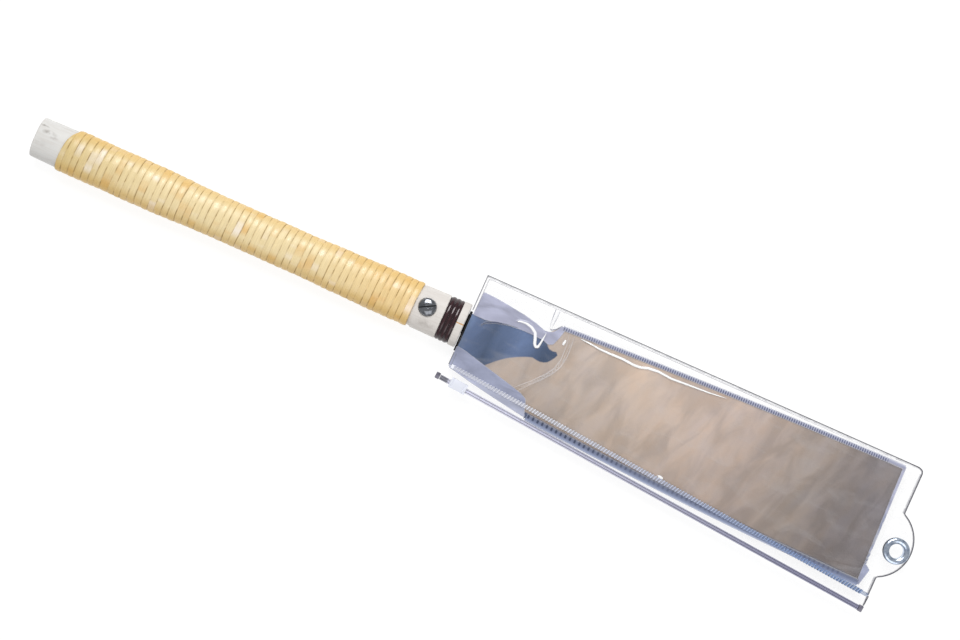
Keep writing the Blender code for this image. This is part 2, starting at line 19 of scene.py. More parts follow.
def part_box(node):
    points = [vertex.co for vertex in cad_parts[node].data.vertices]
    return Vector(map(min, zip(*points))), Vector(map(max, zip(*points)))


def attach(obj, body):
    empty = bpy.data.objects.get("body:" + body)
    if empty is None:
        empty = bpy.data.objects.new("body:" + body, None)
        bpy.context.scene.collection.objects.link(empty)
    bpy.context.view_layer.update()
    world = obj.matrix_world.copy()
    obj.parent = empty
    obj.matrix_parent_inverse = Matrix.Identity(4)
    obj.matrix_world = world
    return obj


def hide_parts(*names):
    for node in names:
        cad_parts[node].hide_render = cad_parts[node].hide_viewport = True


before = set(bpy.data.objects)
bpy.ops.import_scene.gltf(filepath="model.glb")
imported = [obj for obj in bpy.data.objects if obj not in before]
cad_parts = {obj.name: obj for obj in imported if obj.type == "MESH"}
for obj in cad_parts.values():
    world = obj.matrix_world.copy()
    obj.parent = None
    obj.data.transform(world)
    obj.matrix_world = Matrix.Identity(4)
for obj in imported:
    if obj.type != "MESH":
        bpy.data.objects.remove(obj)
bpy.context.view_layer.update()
LOG = logging.getLogger("saw")

Piece = bpy.types.Object
Node = bpy.types.Node
Socket = bpy.types.NodeSocket
Link = Node | Socket
Inputs = dict[str, object] | tuple[object, ...]
Colour = tuple[float, float, float, float]
Stops = tuple[tuple[float, str], ...]
Run = tuple[tuple[float, float], ...]

MM = 0.001
# Sizes that both a shape and its finish follow
SCREW_CENTRE = (-0.0268, 0.0019)
SLOT_HALF = 0.00075
SLOT_TURN = math.radians(29)
HEEL = (0.0605, -0.0402)
SHOULDER = (0.0605, 0.0267)
# Sockets of a colour Mix node, factor and both colours, and its result, then settings that many nodes share
MIX_SOCKETS, MIX_RESULT = (0, 6, 7), 2
OVER = {"data_type": "RGBA"}
TIMES = {"data_type": "RGBA", "blend_type": "MULTIPLY"}
SOFT = {"interpolation_type": "SMOOTHSTEP"}


class Body(Enum):
    """The frame's moving bodies."""

    HANDLE = "handle"
    SCREW = "screw"
    BLADE = "blade"
    SLEEVE = "sleeve"
    SLIDER = "slider"


class Slot(Enum):
    """The record's material slots."""

    WOOD = "pale_wood"
    RATTAN = "rattan"
    LACQUER = "lacquer"
    NICKEL = "nickel"
    STEEL = "saw_steel"
    FILM = "clear_vinyl"
    WELD = "welded_vinyl"
    ZIP = "zip_vinyl"
    SLIDER = "slider_plastic"


class Face(Enum):
    """The two faces of the blade, as the sign of Z."""

    UPPER = 1
    UNDER = -1


def nose_place() -> Vector:
    """Find the saw frame's origin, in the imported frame.

    Returns:
        The middle of the handle's nose, at the height of the blade's middle plane.
    """
    low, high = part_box("handle_core")
    blade_low, blade_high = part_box("saw_blade")
    return Vector((high.x, (low.y + high.y) / 2, (blade_low.z + blade_high.z) / 2))


NOSE = nose_place()


def linear(hex_colour: str) -> Colour:
    """Turn an sRGB hex colour into linear values.

    Args:
        hex_colour: Six hex digits.

    Returns:
        Linear red, green and blue, and a full alpha.
    """
    channels = [int(hex_colour[i : i + 2], 16) / 255 for i in (0, 2, 4)]
    red, green, blue = (c / 12.92 if c <= 0.04045 else ((c + 0.055) / 1.055) ** 2.4 for c in channels)
    return red, green, blue, 1.0


def result(source: Link) -> Socket:
    """The output that a node is there for, or the given socket itself."""
    if isinstance(source, Socket):
        return source
    if source.bl_idname == "ShaderNodeMix":
        return source.outputs[MIX_RESULT]
    return source.outputs["Fac" if "Fac" in source.outputs else 0]


@dataclass(frozen=True)
class Canvas:
    """What a finish is drawn on: a material's nodes and its Principled shader."""

    tree: bpy.types.NodeTree
    shader: Node

    def add(self, kind: str, inputs: Inputs = (), **settings: object) -> Node:
        """Add a node with its settings and links.

        Args:
            kind: Blender's name for the node, without the words that all shader nodes share.
            inputs: Values and sources, by socket name or in the order of the sockets. A MapRange takes its
                value, the range it comes from and the range it goes to, a Mix its factor and two colours.
            settings: Properties of the node; stops fills a ramp with (place, hex colour) pairs.

        Returns:
            The new node.
        """
        node = self.tree.nodes.new(f"ShaderNode{kind}")
        for name, value in settings.items():
            if name != "stops":
                setattr(node, name, value)
                continue
            elements = node.color_ramp.elements
            while len(elements) < len(value):
                elements.new(0.5)
            for element, (place, colour) in zip(elements, value):
                element.position = place
                element.color = linear(colour)
        if isinstance(inputs, tuple):
            inputs = dict(zip(MIX_SOCKETS if kind == "Mix" else range(len(inputs)), inputs))
        for key, value in inputs.items():
            if isinstance(value, Link):
                self.tree.links.new(result(value), node.inputs[key])
            else:
                node.inputs[key].default_value = value
        return node

    def feed(self, **sources: Link) -> None:
        """Link sources to the shader's inputs, whose names have spaces where these have underscores."""
        for name, source in sources.items():
            self.tree.links.new(result(source), self.shader.inputs[name.replace("_", " ")])

    def fed(self, name: str) -> Socket:
        """The socket that is linked to an input of the shader."""
        return self.shader.inputs[name].links[0].from_socket


def per_size(size: float) -> float:
    """Pattern scale that gives features of a size in metres."""
    return 1 / size


def smooth_step(values: np.ndarray, low: float, high: float) -> np.ndarray:
    """Ease from 0 at low to 1 at high.

    Args:
        values: Any array.
        low: Where the step starts.
        high: Where the step ends.

    Returns:
        The eased shares.
    """
    share = np.clip((values - low) / (high - low), 0, 1)
    return share * share * (3 - 2 * share)


def beside(points: np.ndarray, line: np.ndarray) -> tuple[np.ndarray, np.ndarray]:
    """Measure how far points lie from a line of straight stretches.

    Args:
        points: Rows of x and y.
        line: Rows of x and y along the line.

    Returns:
        Distances, positive to the left of the line, and the share of the line's stretches passed.
    """
    best = np.full(len(points), 1e9)
    signed = np.full(len(points), 1e9)
    passed = np.zeros(len(points))
    for i, (start, end) in enumerate(zip(line, line[1:])):
        way = end - start
        share = np.clip(((points - start) @ way) / (way @ way), 0, 1)
        off = points - start - share[:, None] * way
        distance = np.hypot(off[:, 0], off[:, 1])
        left = way[0] * (points[:, 1] - start[1]) - way[1] * (points[:, 0] - start[0])
        nearer = distance < best
        best[nearer] = distance[nearer]
        signed[nearer] = (np.sign(left) * distance)[nearer]
        passed[nearer] = (i + share[nearer]) / (len(line) - 1)
    return signed, passed


def inside(points: np.ndarray, corners: np.ndarray) -> np.ndarray:
    """Measure how deep points lie inside an outline.

    Args:
        points: Rows of x and y.
        corners: Rows of x and y round the outline.

    Returns:
        Distances to the outline, positive inside it.
    """
    loop = np.vstack((corners, corners[:1]))
    depth = np.abs(beside(points, loop)[0])
    crossings = np.zeros(len(points), int)
    for start, end in zip(loop, loop[1:]):
        spans = (start[1] > points[:, 1]) != (end[1] > points[:, 1])
        rise = end[1] - start[1] if end[1] != start[1] else 1e-12
        meets = start[0] + (points[:, 1] - start[1]) / rise * (end[0] - start[0])
        crossings += spans & (points[:, 0] < meets)
    return np.where(crossings % 2 == 1, depth, -depth)


def select_only(piece: Piece) -> None:
    """Make one object the only selected and active one."""
    bpy.ops.object.select_all(action="DESELECT")
    piece.select_set(True)
    bpy.context.view_layer.objects.active = piece


@contextmanager
def editing(piece: Piece) -> Iterator[None]:
    """Open a piece in edit mode with all of it selected.

    Args:
        piece: The mesh object.
    """
    select_only(piece)
    bpy.ops.object.mode_set(mode="EDIT")
    bpy.ops.mesh.select_all(action="SELECT")
    yield
    bpy.ops.object.mode_set(mode="OBJECT")


def close_up() -> None:
    """Merge doubles and turn all faces outwards, in edit mode."""
    bpy.ops.mesh.select_all(action="SELECT")
    bpy.ops.mesh.remove_doubles(threshold=1e-6)
    bpy.ops.mesh.dissolve_degenerate(threshold=1e-7)
    bpy.ops.mesh.select_all(action="SELECT")
    bpy.ops.mesh.delete_loose()
    bpy.ops.mesh.select_all(action="SELECT")
    bpy.ops.mesh.normals_make_consistent(inside=False)


def apply_modifier(piece: Piece, kind: str, **settings: object) -> None:
    """Add a modifier and apply it.

    Args:
        piece: The mesh object.
        kind: Blender's name for the modifier.
        settings: The modifier's properties.
    """
    select_only(piece)
    modifier = piece.modifiers.new(kind.title(), kind)
    for name, value in settings.items():
        setattr(modifier, name, value)
    bpy.ops.object.modifier_apply(modifier=modifier.name)


def carve(piece: Piece, cutter: Piece) -> None:
    """Cut one shape out of another and throw the cutter away.

    Args:
        piece: What is cut.
        cutter: The shape that is taken away.
    """
    apply_modifier(piece, "BOOLEAN", operation="DIFFERENCE", solver="EXACT", object=cutter)
    bpy.data.objects.remove(cutter, do_unlink=True)


def flat_shape(points: Sequence[Sequence[float]], filled: bool) -> Piece:
    """Add a circle and set its points on a given outline.

    Args:
        points: The outline's points in order.
        filled: Whether the outline is closed by a face.

    Returns:
        The new object.
    """
    bpy.ops.object.select_all(action="DESELECT")
    fill = "NGON" if filled else "NOTHING"
    bpy.ops.mesh.primitive_circle_add(vertices=len(points), radius=MM, fill_type=fill)
    piece = bpy.context.object
    for vertex, point in zip(piece.data.vertices, points):
        vertex.co = point
    return piece


def lathe(profile: Sequence[tuple[float, float]], steps: int = 64) -> Piece:
    """Spin a closed profile about Z.

    Args:
        profile: Radius and height of each point.
        steps: Steps round.

    Returns:
        The turned object.
    """
    piece = flat_shape([(radius, 0, height) for radius, height in profile], filled=False)
    with editing(piece):
        bpy.ops.mesh.spin(steps=steps, angle=math.tau, center=(0, 0, 0), axis=(0, 0, 1))
        close_up()
    return piece


def prism(section: Sequence[tuple[float, float]], start: float, end: float) -> Piece:
    """Extrude a section along X.

    Args:
        section: Y and Z of each point.
        start: Where the bar starts along X.
        end: Where it ends.

    Returns:
        The bar.
    """
    piece = flat_shape([(start, y, z) for y, z in section], filled=True)
    with editing(piece):
        bpy.ops.mesh.extrude_region_move(TRANSFORM_OT_translate={"value": (end - start, 0, 0)})
        close_up()
    return piece


def disc(radius: float, low: float, high: float, centre: Vector) -> Piece:
    """Turn a plain round cutter about an upright axis.

    Args:
        radius: Its radius.
        low: Its lowest height.
        high: Its highest height.
        centre: The axis.

    Returns:
        The cutter.
    """
    piece = lathe([(0, low), (radius, low), (radius, high), (0, high)])
    piece.data.transform(Matrix.Translation(centre))
    return piece


def mirrored(piece: Piece) -> Piece:
    """Copy a piece to the blade's other face, with its own mesh.

    Args:
        piece: The piece on the upper face.

    Returns:
        The copy.
    """
    copy = piece.copy()
    copy.data = piece.data.copy()
    bpy.context.scene.collection.objects.link(copy)
    copy.data.transform(Matrix.Scale(-1, 4, (0, 0, 1)))
    with editing(copy):
        bpy.ops.mesh.flip_normals()
    return copy


def raw_mesh(name: str, points: np.ndarray, faces: Sequence[Sequence[int]]) -> Piece:
    """Make an object from points and faces, for shapes that operators can't wind.

    Args:
        name: The mesh's name.
        points: Rows of x, y and z.
        faces: Rows of point numbers.

    Returns:
        The new object.
    """
    mesh = bpy.data.meshes.new(name)
    mesh.from_pydata([tuple(point) for point in points], [], faces)
    piece = bpy.data.objects.new(name, mesh)
    bpy.context.scene.collection.objects.link(piece)
    with editing(piece):
        bpy.ops.mesh.normals_make_consistent(inside=False)
    return piece


def places(piece: Piece) -> np.ndarray:
    """Rows of x, y and z of a piece's points."""
    points = np.zeros(len(piece.data.vertices) * 3)
    piece.data.vertices.foreach_get("co", points)
    return points.reshape(-1, 3)


def note(piece: Piece, name: str, values: np.ndarray) -> None:
    """Keep a number on each point of a piece for its material to read.

    Args:
        piece: The mesh object.
        name: The attribute's name.
        values: One number for each point.
    """
    attribute = piece.data.attributes.new(name, "FLOAT", "POINT")
    attribute.data.foreach_set("value", values.astype(np.float32))


@dataclass(frozen=True)
class Finish:
    """A real material with its usual surface values, drawn on the saw frame's coordinates."""

    title: str
    colour: str
    roughness: float
    metallic: float = 0.0

    def paint(self, canvas: Canvas, place: Socket) -> None:
        """Draw what the eye sees of this material; a plain finish adds nothing.

        Args:
            canvas: What it is drawn on.
            place: Coordinates in the saw's frame.
        """

    def material(self) -> bpy.types.Material:
        """Build the material.

        Returns:
            The node material, named for the real one.
        """
        made = bpy.data.materials.new(self.title)
        made.use_nodes = True
        shader = made.node_tree.nodes["Principled BSDF"]
        shader.inputs["Base Color"].default_value = linear(self.colour)
        shader.inputs["Roughness"].default_value = self.roughness
        shader.inputs["Metallic"].default_value = self.metallic
        canvas = Canvas(made.node_tree, shader)
        where = canvas.add("TexCoord")
        place = canvas.add("Mapping", {"Vector": where.outputs["Object"], "Location": tuple(-NOSE)})
        self.paint(canvas, place.outputs["Vector"])
        return made

    def dress(self, piece: Piece) -> None:
        """Give a piece this material alone."""
        piece.data.materials.clear()
        piece.data.materials.append(self.material())


@dataclass(frozen=True)
class PaleWood(Finish):
    """Bare magnolia: white, close grained and planed smooth, with grey finger marks on the butt."""

    butt: str = "d8d7d4"
    grain: str = "c6bdb6"
    soil: str = "8d857e"
    glue: str = "c98f3f"
    # Marks as place, half sizes and strength: x, y, half length, half width in millimetres
    marks: tuple[tuple[float, float, float, float, float], ...] = (
        (-308, 8.6, 5, 0.9, 0.8),
        (-302, 5.2, 6, 2.2, 0.7),
        (-298, 3.2, 4, 1.4, 0.6),
        (-304, -3, 9, 4, 0.12),
        (-24, -9, 9, 3.5, 0.4),
    )

    def paint(self, canvas: Canvas, place: Socket) -> None:
        """Draw grain along X, finger marks, and the glue line on the nose.

        Args:
            canvas: What it is drawn on.
            place: Coordinates in the saw's frame.
        """
        # Grain lines 1.2 mm wide run some twelve times as long
        long = canvas.add("Mapping", {"Vector": place, "Scale": (0.08, 1, 1)})
        grain = canvas.add("TexNoise", {"Vector": long, "Scale": per_size(1.2 * MM), "Detail": 3.0})
        share = canvas.add("MapRange", (grain, 0.45, 0.75, 0, 0.4))
        x, y, _ = canvas.add("SeparateXYZ", (place,)).outputs
        run = canvas.add("MapRange", (x, -300 * MM, -30 * MM))
        planed = canvas.add("Mix", (run, linear(self.butt), linear(self.colour)), **OVER)
        wood = canvas.add("Mix", (share, planed, linear(self.grain)), **OVER)
        # Soiling is broken up into patches of a few millimetres
        patch = canvas.add("TexNoise", {"Vector": place, "Scale": per_size(3 * MM), "Detail": 4.0})
        broken = canvas.add("MapRange", (patch, 0.35, 0.65))
        for ahead, aside, length, width, strength in self.marks:
            middle, size = (ahead * MM, aside * MM, 10 * MM), (length * MM, width * MM, 14 * MM)
            inputs = {"Vector": place, "Location": middle, "Scale": size}
            spot = canvas.add("Mapping", inputs, vector_type="TEXTURE")
            near = canvas.add("TexGradient", (spot,), gradient_type="SPHERICAL")
            worn = canvas.add("Math", (near, broken), operation="MULTIPLY")
            soiled = canvas.add("MapRange", (worn, 0, 0.6, 0, strength))
            wood = canvas.add("Mix", (soiled, wood, linear(self.soil)), **OVER)
        # The glue line is 0.6 mm wide and lies along the top of the nose
        off = canvas.add("Math", (y, 0.5 * MM), operation="SUBTRACT")
        away = canvas.add("Math", (off,), operation="ABSOLUTE")
        near = canvas.add("MapRange", (away, 0.45 * MM, 0.2 * MM))
        front = canvas.add("Math", (x, -6 * MM), operation="GREATER_THAN")
        line = canvas.add("Math", (near, front), operation="MULTIPLY")
        glued = canvas.add("Mix", (line, wood, linear(self.glue)), **OVER)
        canvas.feed(Base_Color=glued)
        rough = canvas.add("MapRange", (patch, 0, 1, self.roughness - 0.08, self.roughness + 0.12))
        canvas.feed(Roughness=rough)
        bump = canvas.add("Bump", {"Height": grain, "Strength": 0.12, "Distance": 0.3 * MM})
        canvas.feed(Normal=bump)


@dataclass(frozen=True)
class SplitRattan(Finish):
    """Split rattan peel: waxy straw skin with paler patches, and olive painted shade in the grooves and on
    the sides.
    """

    pale: str = "fbf1e6"
    amber: str = "e5bd7c"
    # Colour of the painted shade in the grooves between the turns
    groove: str = "8f6c2a"
    # Colour of the painted shade on the sides of the grip
    side: str = "dfb664"
    # Tints from the butt end of the grip to its front
    tints: Stops = ((0.02, "ebe6d4"), (0.24, "ffffff"), (0.7, "ffffff"), (0.92, "fff4e3"))

    def paint(self, canvas: Canvas, place: Socket) -> None:
        """Draw strands that differ, fibres along each strip, and painted shade on the sides of the grip and
        at the strips' edges.

        Args:
            canvas: What it is drawn on.
            place: Coordinates in the saw's frame.
        """
        along = canvas.add("Attribute", attribute_name="along")
        across = canvas.add("Attribute", attribute_name="across")
        # A strand keeps its colour for about 22 mm of its length
        strip = canvas.add("CombineXYZ", {"X": along})
        strand = canvas.add("TexNoise", {"Vector": strip, "Scale": per_size(22 * MM), "Detail": 3.0})
        stops = [(0.35, self.amber), (0.46, self.colour), (0.56, self.colour), (0.66, self.pale)]
        tone = canvas.add("ValToRGB", (strand,), stops=stops)
        # Fibres are 0.4 mm apart and 12 mm long, coarser than real so that they show
        wide = canvas.add("Math", (across, 66 * MM), operation="MULTIPLY")
        strands = canvas.add("CombineXYZ", {"X": along, "Y": wide})
        fibre = canvas.add("TexNoise", {"Vector": strands, "Scale": per_size(12 * MM), "Detail": 4.0})
        streak = canvas.add("MapRange", (fibre, 0.3, 0.7, 0.88, 1.08))
        plain = canvas.add("Mix", (1.0, tone, streak), **TIMES)
        x, y, _ = canvas.add("SeparateXYZ", (place,)).outputs
        run = canvas.add("MapRange", (x, -292 * MM, -34 * MM))
        tint = canvas.add("ValToRGB", (run,), stops=self.tints)
        skin = canvas.add("Mix", (1.0, plain, tint), **TIMES)
        # Painted shade darkens the sides of the grip, from 6 mm off its middle line
        off = canvas.add("Math", (y, 0.5 * MM), operation="SUBTRACT")
        out = canvas.add("Math", (off,), operation="ABSOLUTE")
        dark = canvas.add("MapRange", (out, 6 * MM, 16 * MM, 0, 0.8), **SOFT)
        side_shaded = canvas.add("Mix", (dark, skin, linear(self.side)), **OVER)
        edge = canvas.add("Math", (across,), operation="ABSOLUTE")
        shade = canvas.add("MapRange", (edge, 0.74, 1.0, 0, 0.74), **SOFT)
        # Painted shade in the grooves is broken up here and there by noise about 6 mm across, which also
        # sets the wax's roughness
        wax = canvas.add("TexNoise", {"Vector": place, "Scale": per_size(6 * MM), "Detail": 2.0})
        bare = canvas.add("MapRange", (wax, 0.4, 0.62, 0.06))
        groove_shade = canvas.add("Math", (shade, bare), operation="MULTIPLY")
        wound = canvas.add("Mix", (groove_shade, side_shaded, linear(self.groove)), **OVER)
        canvas.feed(Base_Color=wound)
        canvas.shader.inputs["Specular IOR Level"].default_value = 0.5
        low, high = self.roughness - 0.05, self.roughness + 0.2
        rough = canvas.add("MapRange", (wax, 0.35, 0.65, low, high))
        canvas.feed(Roughness=rough)
        bump = canvas.add("Bump", {"Height": fibre, "Strength": 0.35, "Distance": 0.25 * MM})
        canvas.feed(Normal=bump)


@dataclass(frozen=True)
class Lacquer(Finish):
    """Maroon lacquer over a wound strand: nearly black, wet looking, worn redder on its crowns."""

    worn: str = "3d1c22"

    def paint(self, canvas: Canvas, place: Socket) -> None:
        """Draw redder crowns and a slightly uneven gloss.

        Args:
            canvas: What it is drawn on.
            place: Coordinates in the saw's frame.
        """
        across = canvas.add("Attribute", attribute_name="across")
        edge = canvas.add("Math", (across,), operation="ABSOLUTE")
        patch = canvas.add("TexNoise", {"Vector": place, "Scale": per_size(2 * MM), "Detail": 3.0})
        crown = canvas.add("Math", (patch, edge), operation="SUBTRACT")
        share = canvas.add("MapRange", (crown, 0.0, 0.6))
        tone = canvas.add("Mix", (share, linear(self.colour), linear(self.worn)), **OVER)
        canvas.feed(Base_Color=tone)
        canvas.shader.inputs["Specular IOR Level"].default_value = 0.62
        rough = canvas.add("MapRange", (patch, 0, 1, self.roughness - 0.04, self.roughness + 0.06))
        canvas.feed(Roughness=rough)


@dataclass(frozen=True)
class NickelPlate(Finish):
    """Nickel plate on pressed or turned steel: a mirror dulled by fine scratches and handling."""

    dull: str = "6f7278"

    def paint(self, canvas: Canvas, place: Socket) -> None:
        """Draw duller, rougher patches.

        Args:
            canvas: What it is drawn on.
            place: Coordinates in the saw's frame.
        """
        patch = canvas.add("TexNoise", {"Vector": place, "Scale": per_size(2.5 * MM), "Detail": 5.0})
        share = canvas.add("MapRange", (patch, 0.4, 0.75))
        tone = canvas.add("Mix", (share, linear(self.colour), linear(self.dull)), **OVER)
        canvas.feed(Base_Color=tone)
        rough = canvas.add("MapRange", (patch, 0, 1, self.roughness - 0.06, self.roughness + 0.14))
        canvas.feed(Roughness=rough)


@dataclass(frozen=True)
class SlottedNickel(NickelPlate):
    """Nickel plate on a screw: polished over the dome, with painted shade in the slot."""

    slot_shade: str = "0b0a0a"

    def paint(self, canvas: Canvas, place: Socket) -> None:
        """Draw the plate, then painted shade between the slot's walls.

        Args:
            canvas: What it is drawn on.
            place: Coordinates in the saw's frame.
        """
        super().paint(canvas, place)
        plate = canvas.fed("Base Color")
        # Painted shade on the head's side of the slot, set 0.3 mm towards one wall so that bare plate shows
        # along the other
        inputs = {"Vector": place, "Location": (*SCREW_CENTRE, 0), "Rotation": (0, 0, SLOT_TURN)}
        slotwise = canvas.add("Mapping", inputs, vector_type="TEXTURE")
        _, y, z = canvas.add("SeparateXYZ", (slotwise,)).outputs
        up = canvas.add("Math", (y, 0.3 * MM), operation="SUBTRACT")
        off = canvas.add("Math", (up,), operation="ABSOLUTE")
        within = canvas.add("MapRange", (off, SLOT_HALF - 0.3 * MM, 0.25 * MM))
        above = canvas.add("Math", (z, 0.0), operation="GREATER_THAN")
        filled = canvas.add("Math", (within, above), operation="MULTIPLY")
        tone = canvas.add("Mix", (filled, plate, linear(self.slot_shade)), **OVER)
        canvas.feed(Base_Color=tone)


@dataclass(frozen=True)
class SawSteel(Finish):
    """Spring steel, ground and oiled: warm satin that greys towards the toe, with painted light across it,
    painted blue reflection on the neck and the filed teeth, and a painted shadow on the stub.
    """

    # Colours of the satin along the blade, and of the painted blue reflection along the neck
    satin: Stops = (
        (0.02, "b8a99e"),
        (0.12, "bfb0a5"),
        (0.25, "c8b6a8"),
        (0.48, "c6b4a9"),
        (0.6, "b8a79d"),
        (0.75, "a89b93"),
        (0.88, "8d8482"),
        (1.0, "898385"),
    )
    blued: Stops = (
        (0.03, "7488ac"),
        (0.1, "62759a"),
        (0.3, "475875"),
        (0.6, "687ca2"),
        (0.85, "3f506c"),
    )
    stains: Stops = ((0.3, "fffaf4"), (0.5, "fdfcfb"), (0.7, "f8f9fd"))
    # Colour of the painted reflection off the teeth's bevels
    teeth: str = "5c6680"
    stub_shadow: str = "070708"

    def paint(self, canvas: Canvas, place: Socket) -> None:
        """Draw the satin's drift of colour with painted light across the blade, grinding lines, painted
        blue reflection on the neck and the filed edges, and a painted shadow on the stub.

        Args:
            canvas: What it is drawn on.
            place: Coordinates in the saw's frame.
        """
        x, y, _ = canvas.add("SeparateXYZ", (place,)).outputs
        run = canvas.add("MapRange", (x, 60 * MM, 310 * MM))
        drift = canvas.add("ValToRGB", (run,), stops=self.satin)
        # Painted light: the blade is drawn lighter towards the fine teeth and darker towards the coarse
        # teeth
        lift = canvas.add("MapRange", (y, -45 * MM, 32 * MM, 0.9, 1.2))
        # Soft lighter and darker patches a centimetre wide, drawn out across the blade on a slant
        inputs = {"Vector": place, "Rotation": (0, 0, -0.35), "Scale": (1, 2.5, 1)}
        slanted = canvas.add("Mapping", inputs, vector_type="TEXTURE")
        inputs = {"Vector": slanted, "Scale": per_size(13 * MM), "Detail": 5.0, "Distortion": 0.7}
        patch = canvas.add("TexNoise", inputs)
        mottle = canvas.add("MapRange", (patch, 0.38, 0.62, 0.89, 1.11))
        level = canvas.add("Math", (lift, mottle), operation="MULTIPLY")
        even = canvas.add("Mix", (1.0, drift, level), **TIMES)
        stain = canvas.add("TexNoise", {"Vector": slanted, "Scale": per_size(9 * MM), "Detail": 3.0})
        hue = canvas.add("ValToRGB", (stain,), stops=self.stains)
        satin = canvas.add("Mix", (1.0, even, hue), **TIMES)
        # The neck's painted blue reflection, with painted shading across the neck, is kept on the mesh as
        # the depth inside its outline
        depth = canvas.add("Attribute", attribute_name="blued")
        reflecting = canvas.add("MapRange", (depth, -0.4 * MM, 0.6 * MM), **SOFT)
        reach = canvas.add("MapRange", (x, 0, 66 * MM))
        reflection_tone = canvas.add("ValToRGB", (reach,), stops=self.blued)
        tilt = canvas.add("MapRange", (y, -12 * MM, 12 * MM, 0.86, 1.14))
        worn = canvas.add("Math", (tilt, mottle), operation="MULTIPLY")
        blue = canvas.add("Mix", (1.0, reflection_tone, worn), **TIMES)
        plate = canvas.add("Mix", (reflecting, satin, blue), **OVER)
        # Filed edges: a band of painted blue reflection off the teeth's bevels, as deep as the teeth
        edge = canvas.add("Attribute", attribute_name="edge")
        band = canvas.add("MapRange", (edge, 1.25, 0.85), **SOFT)
        filed = canvas.add("Mix", (band, plate, linear(self.teeth)), **OVER)
        # Everything behind 2 mm along X is painted black: a painted shadow of the nose on the stub that
        # bears on it, and black on the tang behind
        stub = canvas.add("MapRange", (x, 2.15 * MM, 1.95 * MM))
        whole = canvas.add("Mix", (stub, filed, linear(self.stub_shadow)), **OVER)
        canvas.feed(Base_Color=whole)
        # Grinding lines run across the blade, 0.5 mm apart so that they show
        lines = canvas.add("Mapping", {"Vector": place, "Scale": (1, 0.03, 1)})
        grind = canvas.add("TexNoise", {"Vector": lines, "Scale": per_size(0.5 * MM), "Detail": 2.0})
        rough = canvas.add("MapRange", (grind, 0, 1, self.roughness - 0.06, self.roughness + 0.08))
        canvas.feed(Roughness=rough)


@dataclass(frozen=True)
class Layer:
    """One clouded layer of the film: where it lies, how much it hides and its colour."""

    mask: Link
    alpha: float
    colour: Link | Colour


@dataclass(frozen=True)
class Bridge:
    """Where the film bridges a row of teeth: the row's place, and colours of painted shade from the tips
    inwards.
    """

    name: str
    corner: tuple[float, float, float]
    turn: float
    pitch: float
    depth: float
    tones: Stops
    # Colour of the painted shade at each gullet
    gullet: str
    tick_depth: float
    # How strongly the painted shade at the gullets shows at the heel and past the middle, and how far the
    # row reaches
    shown: tuple[float, float]
    reach: float


COARSE_BRIDGE = Bridge(
    name="coarse",
    corner=(*HEEL, 0.0),
    turn=-0.04674,
    pitch=0.0034934,
    depth=0.0042,
    tones=((0.0, "c4cde2"), (0.22, "99a3c0"), (0.45, "868fab"), (0.7, "767e9a"), (0.95, "8b8e9c")),
    gullet="333d58",
    tick_depth=0.0012,
    shown=(0.85, 0.35),
    reach=0.238,
)
# The fine row's pitch is drawn at 1.65 mm, coarser than real so that it shows
FINE_BRIDGE = Bridge(
    name="fine",
    corner=(*SHOULDER, 0.0),
    turn=0.03304,
    pitch=0.00165,
    depth=0.0026,
    tones=((0.0, "dadce8"), (0.3, "bec1d5"), (0.6, "a9adc6"), (1.0, "b8b5c0")),
    gullet="474e70",
    tick_depth=-0.0004,
    shown=(0.75, 0.85),
    reach=0.236,
)


